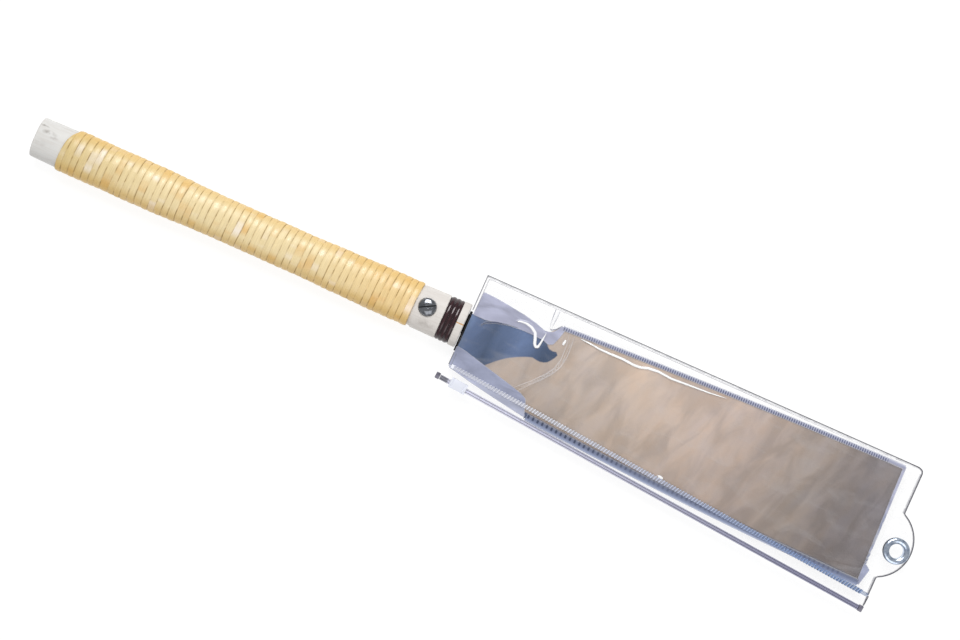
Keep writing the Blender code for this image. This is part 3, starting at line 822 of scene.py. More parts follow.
@dataclass(frozen=True)
class CloudedVinyl(Finish):
    """Soft clear PVC: unseen when flat, with lilac painted shade beside the neck and past the toe, blue
    painted shade where it bridges teeth, and streaks of painted reflection.
    """

    shade_zone_high: str = "b0b2c8"
    shade_zone_low: str = "999eb6"

    def streaks(self, canvas: Canvas, place: Socket) -> Node:
        """Draw streaks of painted reflection about 9 mm wide that cloud the film.

        Args:
            canvas: What it is drawn on.
            place: Coordinates in the saw's frame.

        Returns:
            Noise round a half.
        """
        turned = canvas.add("Mapping", {"Vector": place, "Rotation": (0, 0, 0.5), "Scale": (0.35, 1, 1)})
        inputs = {"Vector": turned, "Scale": per_size(9 * MM), "Detail": 3.0, "Distortion": 0.8}
        return canvas.add("TexNoise", inputs)

    def shade_zone_layer(self, canvas: Canvas, place: Socket) -> Layer:
        """Draw the lilac painted shade of the shade zones, darker below the neck, from the depth kept on
        the mesh.

        Args:
            canvas: What it is drawn on.
            place: Coordinates in the saw's frame.

        Returns:
            The layer.
        """
        y = canvas.add("SeparateXYZ", (place,)).outputs["Y"]
        slack = canvas.add("Attribute", attribute_name="slack")
        cloudy = canvas.add("MapRange", (slack, -0.3 * MM, 0.3 * MM), **SOFT)
        above = canvas.add("MapRange", (y, -2 * MM, 2 * MM))
        sides = canvas.add("Mix", (above, linear(self.shade_zone_low), linear(self.shade_zone_high)), **OVER)
        # Streaks of painted reflection make the painted shade lighter and darker in places
        marks = self.streaks(canvas, place)
        uneven = canvas.add("MapRange", (marks, 0.3, 0.7, 0.78, 1.26))
        lilac = canvas.add("Mix", (1.0, sides, uneven), **TIMES)
        return Layer(cloudy, 0.9, lilac)

    def bridge_layer(self, canvas: Canvas, place: Socket, bridge: Bridge) -> Layer:
        """Draw painted shade in a band over a row of teeth, darker at each gullet.

        Args:
            canvas: What it is drawn on.
            place: Coordinates in the saw's frame.
            bridge: The row and its colours.

        Returns:
            The layer.
        """
        within = canvas.add("Attribute", attribute_name=bridge.name)
        past_tips = canvas.add("MapRange", (within, -0.9 * MM, 0.1 * MM), **SOFT)
        inputs = (within, bridge.depth + 0.4 * MM, bridge.depth - 0.5 * MM)
        before_end = canvas.add("MapRange", inputs, **SOFT)
        over = canvas.add("Math", (past_tips, before_end), operation="MULTIPLY")
        inward = canvas.add("MapRange", (within, -0.5 * MM, bridge.depth))
        tone = canvas.add("ValToRGB", (inward,), stops=bridge.tones)
        inputs = {"Vector": place, "Location": bridge.corner, "Rotation": (0, 0, bridge.turn)}
        row = canvas.add("Mapping", inputs, vector_type="TEXTURE")
        x = canvas.add("SeparateXYZ", (row,)).outputs["X"]
        step = canvas.add("Math", (x, bridge.pitch / 2), operation="PINGPONG")
        heel, far = bridge.shown
        shown = canvas.add("MapRange", (x, 40 * MM, 90 * MM, heel, far))
        toothed = canvas.add("MapRange", (x, bridge.reach, bridge.reach - 3 * MM, 0, shown))
        tick = canvas.add("MapRange", (step, bridge.pitch * 0.3, bridge.pitch * 0.1, 0, toothed), **SOFT)
        deep = canvas.add("MapRange", (within, bridge.tick_depth, bridge.tick_depth + 0.8 * MM), **SOFT)
        dip = canvas.add("Math", (tick, deep), operation="MULTIPLY")
        gullet_shade_tone = canvas.add("Mix", (dip, tone, linear(bridge.gullet)), **OVER)
        return Layer(over, 0.85, gullet_shade_tone)

    def line_mask(self, canvas: Canvas, name: str, wide: float, core: float) -> Node:
        """Read a line from the mesh, where the distance to it is kept as a share of its width.

        Args:
            canvas: What it is drawn on.
            name: The attribute's name.
            wide: Share of the width at which the line starts to show.
            core: Share of the width at which it shows fully.

        Returns:
            The line's mask.
        """
        line = canvas.add("Attribute", attribute_name=name)
        away = canvas.add("Math", (line,), operation="ABSOLUTE")
        return canvas.add("MapRange", (away, wide, core), **SOFT)

    def lay(self, canvas: Canvas, layers: Sequence[Layer], tone: Link | Colour, cover: Link) -> None:
        """Lay clouded layers over the bare film, the last on top.

        Args:
            canvas: What it is drawn on.
            layers: The layers from below.
            tone: Colour of the bare film.
            cover: How much the bare film hides.
        """
        for layer in layers:
            tone = canvas.add("Mix", (layer.mask, tone, layer.colour), **OVER)
            cover = canvas.add("MapRange", (layer.mask, 0, 1, cover, layer.alpha))
        canvas.feed(Base_Color=tone, Alpha=cover)


@dataclass(frozen=True)
class ClearVinyl(CloudedVinyl):
    """Soft clear PVC sheet: clouded as above, with grey welded hems, folds of painted shade, veils of
    painted reflection and creases of painted highlight.
    """

    hems: Stops = ((0.0, "85858a"), (0.6, "7c7c82"), (0.97, "50505a"))
    # Colour of the painted shade along the folds
    fold: str = "5f6680"
    # Colour of the painted highlight on the creases
    white: str = "ffffff"
    clearness: float = 0.015

    def paint(self, canvas: Canvas, place: Socket) -> None:
        """Draw what clouds the sheet: painted shade zones, toothed bands of painted shade, hems, folds of
        painted shade, veils of painted reflection and creases of painted highlight.

        Args:
            canvas: What it is drawn on.
            place: Coordinates in the saw's frame.
        """
        x = canvas.add("SeparateXYZ", (place,)).outputs["X"]
        # Two welded lines follow the edges, one at the rim, wider round the end, and one 2.1 mm inside it,
        # which fades towards the toe
        rim = canvas.add("Attribute", attribute_name="rim")
        wide = canvas.add("MapRange", (x, 305 * MM, 318 * MM, 0.75 * MM, 1.3 * MM))
        outer = canvas.add("MapRange", (rim, wide, 0.4 * MM))
        off = canvas.add("Math", (rim, 2.1 * MM), operation="SUBTRACT")
        away = canvas.add("Math", (off,), operation="ABSOLUTE")
        fading = canvas.add("MapRange", (x, 321 * MM, 200 * MM, 0, 0.5))
        inner = canvas.add("MapRange", (away, 0.4 * MM, 0.1 * MM, 0, fading))
        hemmed = canvas.add("Math", (outer, inner), operation="MAXIMUM")
        run = canvas.add("MapRange", (x, 0, 320 * MM))
        grey = canvas.add("ValToRGB", (run,), stops=self.hems)
        # Streaks of painted reflection make the bare film milkier
        marks = self.streaks(canvas, place)
        cover = canvas.add("MapRange", (marks, 0.5, 0.8, self.clearness, 0.07))
        # The toothed bands and folds are painted shade, the veils painted reflection, the creases painted
        # highlight
        layers = (
            self.shade_zone_layer(canvas, place),
            self.bridge_layer(canvas, place, COARSE_BRIDGE),
            self.bridge_layer(canvas, place, FINE_BRIDGE),
            Layer(hemmed, 0.75, grey),
            Layer(self.line_mask(canvas, "fold", 1.2, 0.2), 0.55, linear(self.fold)),
            Layer(self.line_mask(canvas, "veil", 1.2, 0.1), 0.22, linear(self.colour)),
            Layer(self.line_mask(canvas, "crease", 1.1, 0.35), 1.0, linear(self.white)),
        )
        self.lay(canvas, layers, linear(self.colour), cover)


@dataclass(frozen=True)
class PressedVinyl(Finish):
    """Clear PVC pressed or moulded thick: see-through, whiter on its ridges, greyer in its hollows."""

    hollow: str = "9a9ab4"
    cover: float = 0.6
    swing: float = 0.2

    def paint(self, canvas: Canvas, place: Socket) -> None:
        """Draw uneven cloudiness a few millimetres across.

        Args:
            canvas: What it is drawn on.
            place: Coordinates in the saw's frame.
        """
        patch = canvas.add("TexNoise", {"Vector": place, "Scale": per_size(5 * MM), "Detail": 3.0})
        share = canvas.add("MapRange", (patch, 0.35, 0.7))
        tone = canvas.add("Mix", (share, linear(self.colour), linear(self.hollow)), **OVER)
        canvas.feed(Base_Color=tone)
        low, high = self.cover - self.swing / 2, self.cover + self.swing / 2
        cover = canvas.add("MapRange", (share, 0, 1, low, high))
        canvas.feed(Alpha=cover)


@dataclass(frozen=True)
class RibbedVinyl(PressedVinyl):
    """Clear PVC pressed into ribs: white ridges that turn blue towards the far end, on a thin web."""

    tones: Stops = ((0.0, "f0f2fc"), (0.2, "f6f7ff"), (0.55, "d6ddf2"), (0.9, "93abd6"))
    web: float = 0.3

    def paint(self, canvas: Canvas, place: Socket) -> None:
        """Draw the ridges, fainter at the mouth, where a blob of molten film closes the row.

        Args:
            canvas: What it is drawn on.
            place: Coordinates in the saw's frame.
        """
        super().paint(canvas, place)
        cloudy = canvas.fed("Alpha")
        x = canvas.add("SeparateXYZ", (place,)).outputs["X"]
        run = canvas.add("MapRange", (x, 0, 300 * MM))
        tone = canvas.add("ValToRGB", (run,), stops=self.tones)
        canvas.feed(Base_Color=tone)
        near = canvas.add("MapRange", (x, 15 * MM, 65 * MM, 0.6, 1.0))
        ridge = canvas.add("Attribute", attribute_name="ridge")
        raised = canvas.add("MapRange", (ridge, 0, 1, self.web, near))
        shown = canvas.add("Math", (cloudy, raised), operation="MULTIPLY")
        blob = canvas.add("MapRange", (x, 6 * MM, 5 * MM))
        cover = canvas.add("Math", (shown, blob), operation="MAXIMUM")
        canvas.feed(Alpha=cover)


@dataclass(frozen=True)
class ExtrudedVinyl(CloudedVinyl):
    """Clear PVC drawn as a ridged rail on a thin flange: striped lilac rail, and a flange clouded with
    painted shade.
    """

    shade_zone_low: str = "b0b4c8"
    toe: str = "9292aa"
    mouth: str = "6c6c76"
    end: str = "66666c"
    rail_edge: float = 0.0013

    def paint(self, canvas: Canvas, place: Socket) -> None:
        """Draw the flange's painted shade, then the rail's stripes and its greying towards both ends.

        Args:
            canvas: What it is drawn on.
            place: Coordinates in the saw's frame.
        """
        x = canvas.add("SeparateXYZ", (place,)).outputs["X"]
        run = canvas.add("MapRange", (x, 10 * MM, 260 * MM))
        drift = canvas.add("Mix", (run, linear(self.colour), linear(self.toe)), **OVER)
        # The first 5 mm, bent up by the clip, look grey
        bent = canvas.add("MapRange", (x, 6 * MM, 4.5 * MM, 0, 0.8))
        grey = canvas.add("Mix", (bent, drift, linear(self.mouth)), **OVER)
        across = canvas.add("Attribute", attribute_name="across")
        # Two stripes run 0.8 mm to each side of the rail's middle
        out = canvas.add("Math", (across,), operation="ABSOLUTE")
        off = canvas.add("Math", (out, 0.8 * MM), operation="SUBTRACT")
        away = canvas.add("Math", (off,), operation="ABSOLUTE")
        stripe = canvas.add("MapRange", (away, 0.5 * MM, 0.15 * MM, 1.32, 0.7))
        striped = canvas.add("Mix", (1.0, grey, stripe), **TIMES)
        on_rail = canvas.add("MapRange", (across, self.rail_edge + 0.4 * MM, self.rail_edge))
        at_end = canvas.add("MapRange", (x, 318.7 * MM, 319.1 * MM))
        # Streaks of painted reflection cloud the flange faintly
        marks = self.streaks(canvas, place)
        cover = canvas.add("MapRange", (marks, 0.5, 0.8, 0, 0.03))
        layers = (
            self.shade_zone_layer(canvas, place),
            self.bridge_layer(canvas, place, COARSE_BRIDGE),
            Layer(at_end, 0.6, linear(self.end)),
            Layer(on_rail, 0.94, striped),
        )
        self.lay(canvas, layers, linear(self.colour), cover)


@dataclass(frozen=True)
class MouldedPlastic(Finish):
    """Moulded polypropylene: near white with a soft shine and a faint grain from the mould."""

    def paint(self, canvas: Canvas, place: Socket) -> None:
        """Draw the mould's grain.

        Args:
            canvas: What it is drawn on.
            place: Coordinates in the saw's frame.
        """
        grain = canvas.add("TexNoise", {"Vector": place, "Scale": per_size(0.7 * MM), "Detail": 2.0})
        rough = canvas.add("MapRange", (grain, 0, 1, self.roughness - 0.08, self.roughness + 0.08))
        canvas.feed(Roughness=rough)
        bump = canvas.add("Bump", {"Height": grain, "Strength": 0.1, "Distance": 0.1 * MM})
        canvas.feed(Normal=bump)


@dataclass(frozen=True)
class LitCard(Finish):
    """White translucent card on a light table: even, and nearly free of shadows."""

    glow: float = 0.85

    def paint(self, canvas: Canvas, place: Socket) -> None:
        """Let the card glow.

        Args:
            canvas: What it is drawn on.
            place: Coordinates in the saw's frame.
        """
        canvas.shader.inputs["Emission Color"].default_value = linear("ffffff")
        canvas.shader.inputs["Emission Strength"].default_value = self.glow


WOOD = PaleWood("planed magnolia", "dbd6d1", 0.5)
RATTAN = SplitRattan("split rattan", "ecd7a7", 0.26)
LACQUER = Lacquer("maroon lacquer", "240a12", 0.08)
NUT_NICKEL = NickelPlate("dark nickel plate", "6a6d72", 0.16, metallic=1.0, dull="46484d")
# The screw's finish paints shade into its slot
SCREW_NICKEL = SlottedNickel("greased dark nickel plate", "8e9197", 0.1, metallic=1.0, dull="5a5c61")
NICKEL = NickelPlate("nickel plate", "d6e2f2", 0.14, metallic=1.0, dull="8898b6")
STEEL = SawSteel("ground saw steel", "c8b8ac", 0.42, metallic=0.85)
FILM = ClearVinyl("soft clear vinyl", "f2f2f6", 0.16)
WELD = PressedVinyl("welded vinyl", "d8d8e0", 0.25, hollow="a6a6b0", cover=0.24)
RIBS = RibbedVinyl("pressed vinyl ribs", "f6f7ff", 0.3, hollow="dfe3f6", cover=0.75)
ZIP = ExtrudedVinyl("extruded vinyl", "d6d6e4", 0.25)
STOP = PressedVinyl("clear moulded vinyl", "8b8898", 0.2, hollow="454350", cover=0.88)
SLIDER = MouldedPlastic("moulded polypropylene", "e2e5f0", 0.35)
CARD = LitCard("lit white card", "7c7c7c", 0.9)


def fit(piece: Piece, name: str, finish: Finish, body: Body, node: str) -> Piece:
    """Set a piece at the nose, dress it and tie it to the frame.

    Args:
        piece: The piece, in the saw's frame.
        name: Its name.
        finish: Its material.
        body: The frame's body that it rides on.
        node: The CAD node that it stands for.

    Returns:
        The same piece.
    """
    piece.name = name
    piece.data.name = name
    piece.data.transform(Matrix.Translation(NOSE))
    select_only(piece)
    bpy.ops.object.shade_smooth_by_angle(angle=math.radians(38))
    finish.dress(piece)
    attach(piece, body.value)
    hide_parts(node)
    LOG.info("%s: %d faces for %s", name, len(piece.data.polygons), node)
    return piece


@dataclass
class Stick:
    """The handle's oval stick, waisted along the grip and straight between its measured places."""

    length: float = 0.3105
    bare_butt: float = 0.0205
    bare_collar: float = 0.0345
    collar_ease: float = 0.002
    fit_gap: float = 0.0003
    waist_shares: tuple[float, ...] = (0.25, 0.43, 0.68, 0.88)
    widths: tuple[float, ...] = (0.0275, 0.0284, 0.0284, 0.0264, 0.0264, 0.0287, 0.0287, 0.0302, 0.0312)
    thicknesses: tuple[float, ...] = (0.0202, 0.0208, 0.0208, 0.0194, 0.0194, 0.021, 0.021, 0.0222, 0.0229)
    power: float = 2.3

    def stations(self) -> tuple[float, ...]:
        """Where the widths and thicknesses were measured along X."""
        rear, front = self.bare_butt - self.length, -self.bare_collar
        waist = (rear + (front - rear) * share for share in self.waist_shares)
        return -self.length, rear, *waist, front + self.fit_gap, front + self.collar_ease, 0.0

    def point(self, x: float, angle: float, rise: float) -> Vector:
        """Find a point over the oval section.

        Args:
            x: Place along the stick.
            angle: Angle round it, from Y towards Z.
            rise: Height off its surface.

        Returns:
            The point.
        """
        half_width = np.interp(x, self.stations(), self.widths) / 2 + rise
        half_thickness = np.interp(x, self.stations(), self.thicknesses) / 2 + rise
        across, up = math.cos(angle), math.sin(angle)
        y = math.copysign(abs(across) ** (2 / self.power), across) * half_width
        z = math.copysign(abs(up) ** (2 / self.power), up) * half_thickness
        return Vector((x, y, z))


@dataclass
class Winding:
    """A strip wound round the stick, its first and last rows tapered away between slanted ends."""

    stick: Stick
    rear: float
    front: float
    turns: int
    rise: float
    crown: float
    edge: float
    wander: float
    sides: int
    seed: int
    rear_lean: float = 0.0
    front_lean: float = 0.0
    gap: float = 0.0001
    lead: float = 0.04
    row_length: float = 0.082
    least_half: float = 0.00003
    sunk: float = 0.00015

    def row(self, turn: np.ndarray, drift: np.ndarray) -> np.ndarray:
        """Place the line between two rows after some turns.

        Args:
            turn: Turns made from the rear.
            drift: Sideways drift at each third of a turn.

        Returns:
            Places along X, kept between both ends.
        """
        slant = ((1 + np.sin(math.tau * turn)) / 2) ** 3.3
        off = np.interp(turn, np.arange(len(drift)) / 3 - 1, drift)
        place = self.rear + (self.front - self.rear) / self.turns * turn + off
        low, high = self.rear + self.rear_lean * slant, self.front - self.front_lean * (1 - slant)
        return np.clip(place, low, high)

    def build(self) -> Piece:
        """Wind the strip.

        Returns:
            One unbroken strip, with its length and its width noted on its points.
        """
        chance = np.random.default_rng(self.seed)
        drift = chance.uniform(-self.wander, self.wander, self.turns * 3 + 7)
        steps = np.arange(self.lead, self.turns + 1 - self.lead, 1 / self.sides)
        crowns = np.interp(steps, np.arange(self.turns + 2), chance.uniform(0.7, 1.0, self.turns + 2))
        spans = np.array([*np.linspace(-1, 1, 9), 1, -1])
        domes = self.edge + (1 - self.edge) * (1 - np.abs(spans) ** 2.2)
        points = []
        rears, fronts = self.row(steps - 1, drift), self.row(steps, drift)
        for turn, rear, front, crown in zip(steps, rears, fronts, crowns):
            half = max((front - rear - self.gap) / 2, self.least_half)
            height = self.crown * crown * min(1, half / self.crown)
            rises = np.append(self.rise + domes[:9] * height, [self.rise - self.sunk] * 2)
            for span, rise in zip(spans, rises):
                angle = math.pi / 2 - math.tau * turn
                points.append(self.stick.point((rear + front) / 2 + span * half, angle, rise))
        for point in points:
            point.z = max(point.z, -NOSE.z)
        count, size = len(steps), len(spans)
        faces = [list(range(size)), list(range((count - 1) * size, count * size))]
        for base in range(0, (count - 1) * size, size):
            for j in range(size):
                after = (j + 1) % size
                faces.append([base + j, base + after, base + size + after, base + size + j])
        piece = raw_mesh("strip", np.array(points), faces)
        note(piece, "along", np.repeat(steps * self.row_length, size))
        note(piece, "across", np.tile(spans, count))
        return piece


@dataclass
class Handle:
    """The stick with its kerf, what is wound round it, and the screw that clamps its jaws."""

    stick: Stick
    kerf_half: float = 0.00065
    kerf_reach: float = 0.0423
    groove_depth: float = 0.0013
    groove_rear: float = -0.0151
    groove_front: float = -0.0053
    groove_lip: float = 0.0002
    groove_wall: float = 0.0001
    # How the ends are rounded: distances from each end and the rise there
    butt_round: Run = ((0, -0.0009), (0.0002, -0.0004), (0.0006, -0.0001), (0.0010, 0))
    nose_round: Run = ((-0.0010, 0), (-0.0004, -0.0002), (0, -0.0009))
    screw_centre: tuple[float, float] = SCREW_CENTRE
    shank: float = 0.003
    head: float = 0.00605
    head_rim: float = 0.0013
    head_height: float = 0.0034
    seat_depth: float = 0.0010
    nut: float = 0.006
    nut_height: float = 0.003
    nut_sunk: float = 0.0005
    slot_half: float = SLOT_HALF
    slot_depth: float = 0.0013
    slot_turn: float = SLOT_TURN
    edge_bevel: float = 0.00016
    tip_chamfer: float = 0.0004
    fit_gap: float = 0.0003

    def axis(self) -> Vector:
        """The screw's axis in the blade's plane."""
        return Vector((*self.screw_centre, 0))

    def levels(self) -> tuple[float, float, float]:
        """Heights of the head's seat, the nut's roof and the nut's base."""
        half = np.interp(self.screw_centre[0], self.stick.stations(), self.stick.thicknesses) / 2
        roof = self.nut_sunk + self.nut_height + self.fit_gap - half
        return half - self.seat_depth, roof, roof - self.fit_gap - self.nut_height

    def build_core(self) -> Piece:
        """Shape the stick from a cylinder cut into rings, then saw its kerf and bore it.

        Returns:
            The stick.
        """
        length, depth = self.stick.length, self.groove_depth
        rear, front, lip, wall = self.groove_rear, self.groove_front, self.groove_lip, self.groove_wall
        rings = [(off - length, rise) for off, rise in self.butt_round]
        rings += [(x, 0) for x in self.stick.stations()[1:-1]]
        rings += [(rear - lip, 0), (rear, -lip), (rear + wall, -depth)]
        rings += [(front - wall, -depth), (front, -lip), (front + lip, 0), *self.nose_round]
        bpy.ops.object.select_all(action="DESELECT")
        along_x = (0, math.pi / 2, 0)
        bpy.ops.mesh.primitive_cylinder_add(vertices=96, radius=0.5, depth=length, rotation=along_x)
        core = bpy.context.object
        core.data.transform(Matrix.Translation((-length / 2, 0, 0)) @ core.matrix_world)
        core.matrix_world = Matrix.Identity(4)
        with editing(core):
            for x, _ in rings[1:-1]:
                bpy.ops.mesh.select_all(action="SELECT")
                bpy.ops.mesh.bisect(plane_co=(x, 0, 0), plane_no=(1, 0, 0))
        xs, rises = zip(*rings)
        for vertex in core.data.vertices:
            rise = float(np.interp(vertex.co.x, xs, rises))
            vertex.co = self.stick.point(vertex.co.x, math.atan2(vertex.co.z, vertex.co.y), rise)
        seat, roof, _ = self.levels()
        past = self.stick.widths[-1]
        half = self.kerf_half
        kerf = [(-past, -half), (past, -half), (past, half), (-past, half)]
        carve(core, prism(kerf, -self.kerf_reach, past))
        carve(core, disc(self.shank + self.fit_gap, -past, past, self.axis()))
        carve(core, disc(self.head + self.fit_gap, seat, past, self.axis()))
        carve(core, disc(self.nut + self.fit_gap, -past, roof, self.axis()))
        with editing(core):
            close_up()
        return core

    def build_screw(self) -> Piece:
        """Turn the screw with its domed head, and cut the slot.

        Returns:
            The screw.
        """
        seat, _, base = self.levels()
        low = seat + self.fit_gap
        rim = low + self.head_rim
        dome = self.head_height - self.head_rim
        shank, head, chamfer = self.shank, self.head, self.tip_chamfer
        ease, brow = 0.0002, 0.0003
        profile = [(0, base), (shank - chamfer, base), (shank, base + chamfer), (shank, low)]
        profile += [(head - ease, low), (head, low + ease), (head, rim - brow)]
        for i in range(1, 12):
            angle = math.pi / 2 * i / 12
            profile.append((head * math.cos(angle) ** 0.8, rim + dome * math.sin(angle)))
        profile.append((0, low + self.head_height))
        screw = lathe(profile, 72)
        half = self.slot_half
        floor = low + self.head_height - self.slot_depth
        past = floor + self.head_height
        section = [(-half, floor), (half, floor), (half, past), (-half, past)]
        slot = prism(section, -head * 2, head * 2)
        slot.data.transform(Matrix.Rotation(self.slot_turn, 4, "Z"))
        carve(screw, slot)
        settings = {"limit_method": "ANGLE", "angle_limit": math.radians(50)}
        apply_modifier(screw, "BEVEL", width=self.edge_bevel, segments=2, **settings)
        screw.data.transform(Matrix.Translation(self.axis()))
        return screw

    def build_nut(self) -> Piece:
        """Turn the round nut with eased edges.

        Returns:
            The nut.
        """
        base = self.levels()[2]
        top = base + self.nut_height
        bore, rim, ease = self.shank + self.fit_gap, self.nut, self.tip_chamfer
        profile = [(bore, base + ease), (bore + ease, base), (rim - ease, base), (rim, base + ease)]
        profile += [(rim, top), (bore, top)]
        nut = lathe(profile, 72)
        nut.data.transform(Matrix.Translation(self.axis()))
        return nut

    def dress(self) -> None:
        """Build all of the handle's pieces and fit them."""
        stick = self.stick
        fit(self.build_core(), "stick", WOOD, Body.HANDLE, "handle_core")
        wrap = Winding(
            stick=stick,
            rear=stick.bare_butt - stick.length - 0.0010,
            front=-stick.bare_collar,
            turns=53,
            rise=0.0003,
            crown=0.0013,
            edge=0.66,
            wander=0.0008,
            sides=44,
            seed=7,
            rear_lean=0.0062,
            front_lean=0.0012,
            gap=0.00003,
        )
        fit(wrap.build(), "rattan_winding", RATTAN, Body.HANDLE, "rattan_wrap")
        whip = Winding(
            stick=stick,
            rear=-0.0149,
            front=-0.0054,
            turns=3,
            rise=0.0003 - self.groove_depth,
            crown=0.0012,
            edge=0.5,
            wander=0.0001,
            sides=48,
            seed=3,
            gap=0.00005,
        )
        fit(whip.build(), "whipping_strand", LACQUER, Body.HANDLE, "nose_whipping")
        fit(self.build_nut(), "round_nut", NUT_NICKEL, Body.HANDLE, "clamp_nut")
        fit(self.build_screw(), "slotted_screw", SCREW_NICKEL, Body.SCREW, "clamp_screw")


@dataclass
class Teeth:
    """One row of teeth, with tips on a shallow bow to the right of the way from start to end."""

    start: tuple[float, float]
    end: tuple[float, float]
    pitch: float
    height: float
    lean: float
    bow: float
    spread: float = 0.00016

    def count(self) -> int:
        """How many teeth the row has."""
        return round(math.dist(self.start, self.end) / self.pitch)

    def at(self, share: float, depth: float) -> Vector:
        """Find a point of the row.

        Args:
            share: Share of the way from start to end.
            depth: Depth below the tips.

        Returns:
            The point.
        """
        start, end = Vector((*self.start, 0)), Vector((*self.end, 0))
        way = end - start
        outward = Vector((way.y, -way.x, 0)).normalized()
        return start + way * share + outward * (4 * self.bow * share * (1 - share) - depth)

    def outline(self) -> list[Vector]:
        """Points from the first gullet to the last."""
        count = self.count()
        points = [self.at(0, self.height)]
        for i in range(count):
            points.append(self.at((i + self.lean) / count, 0))
            points.append(self.at((i + 1) / count, self.height))
        return points

    def tips(self) -> np.ndarray:
        """Rows of x and y along the bow of the tips."""
        return np.array([self.at(i / 40, 0).xy for i in range(41)])

    def offset(self, points: np.ndarray) -> np.ndarray:
        """Set the teeth to one side and the other in turn.

        Args:
            points: Rows of x and y.

        Returns:
            How far each point leaves the blade's plane.
        """
        depth, share = beside(points, self.tips())
        number = np.floor(np.clip(share, 0, 0.9999) * self.count())
        lift = np.clip(1 - np.abs(depth) / self.height, 0, 1) * (share > 0) * (share < 1)
        return self.spread * lift * np.where(number % 2 == 0, 1, -1)


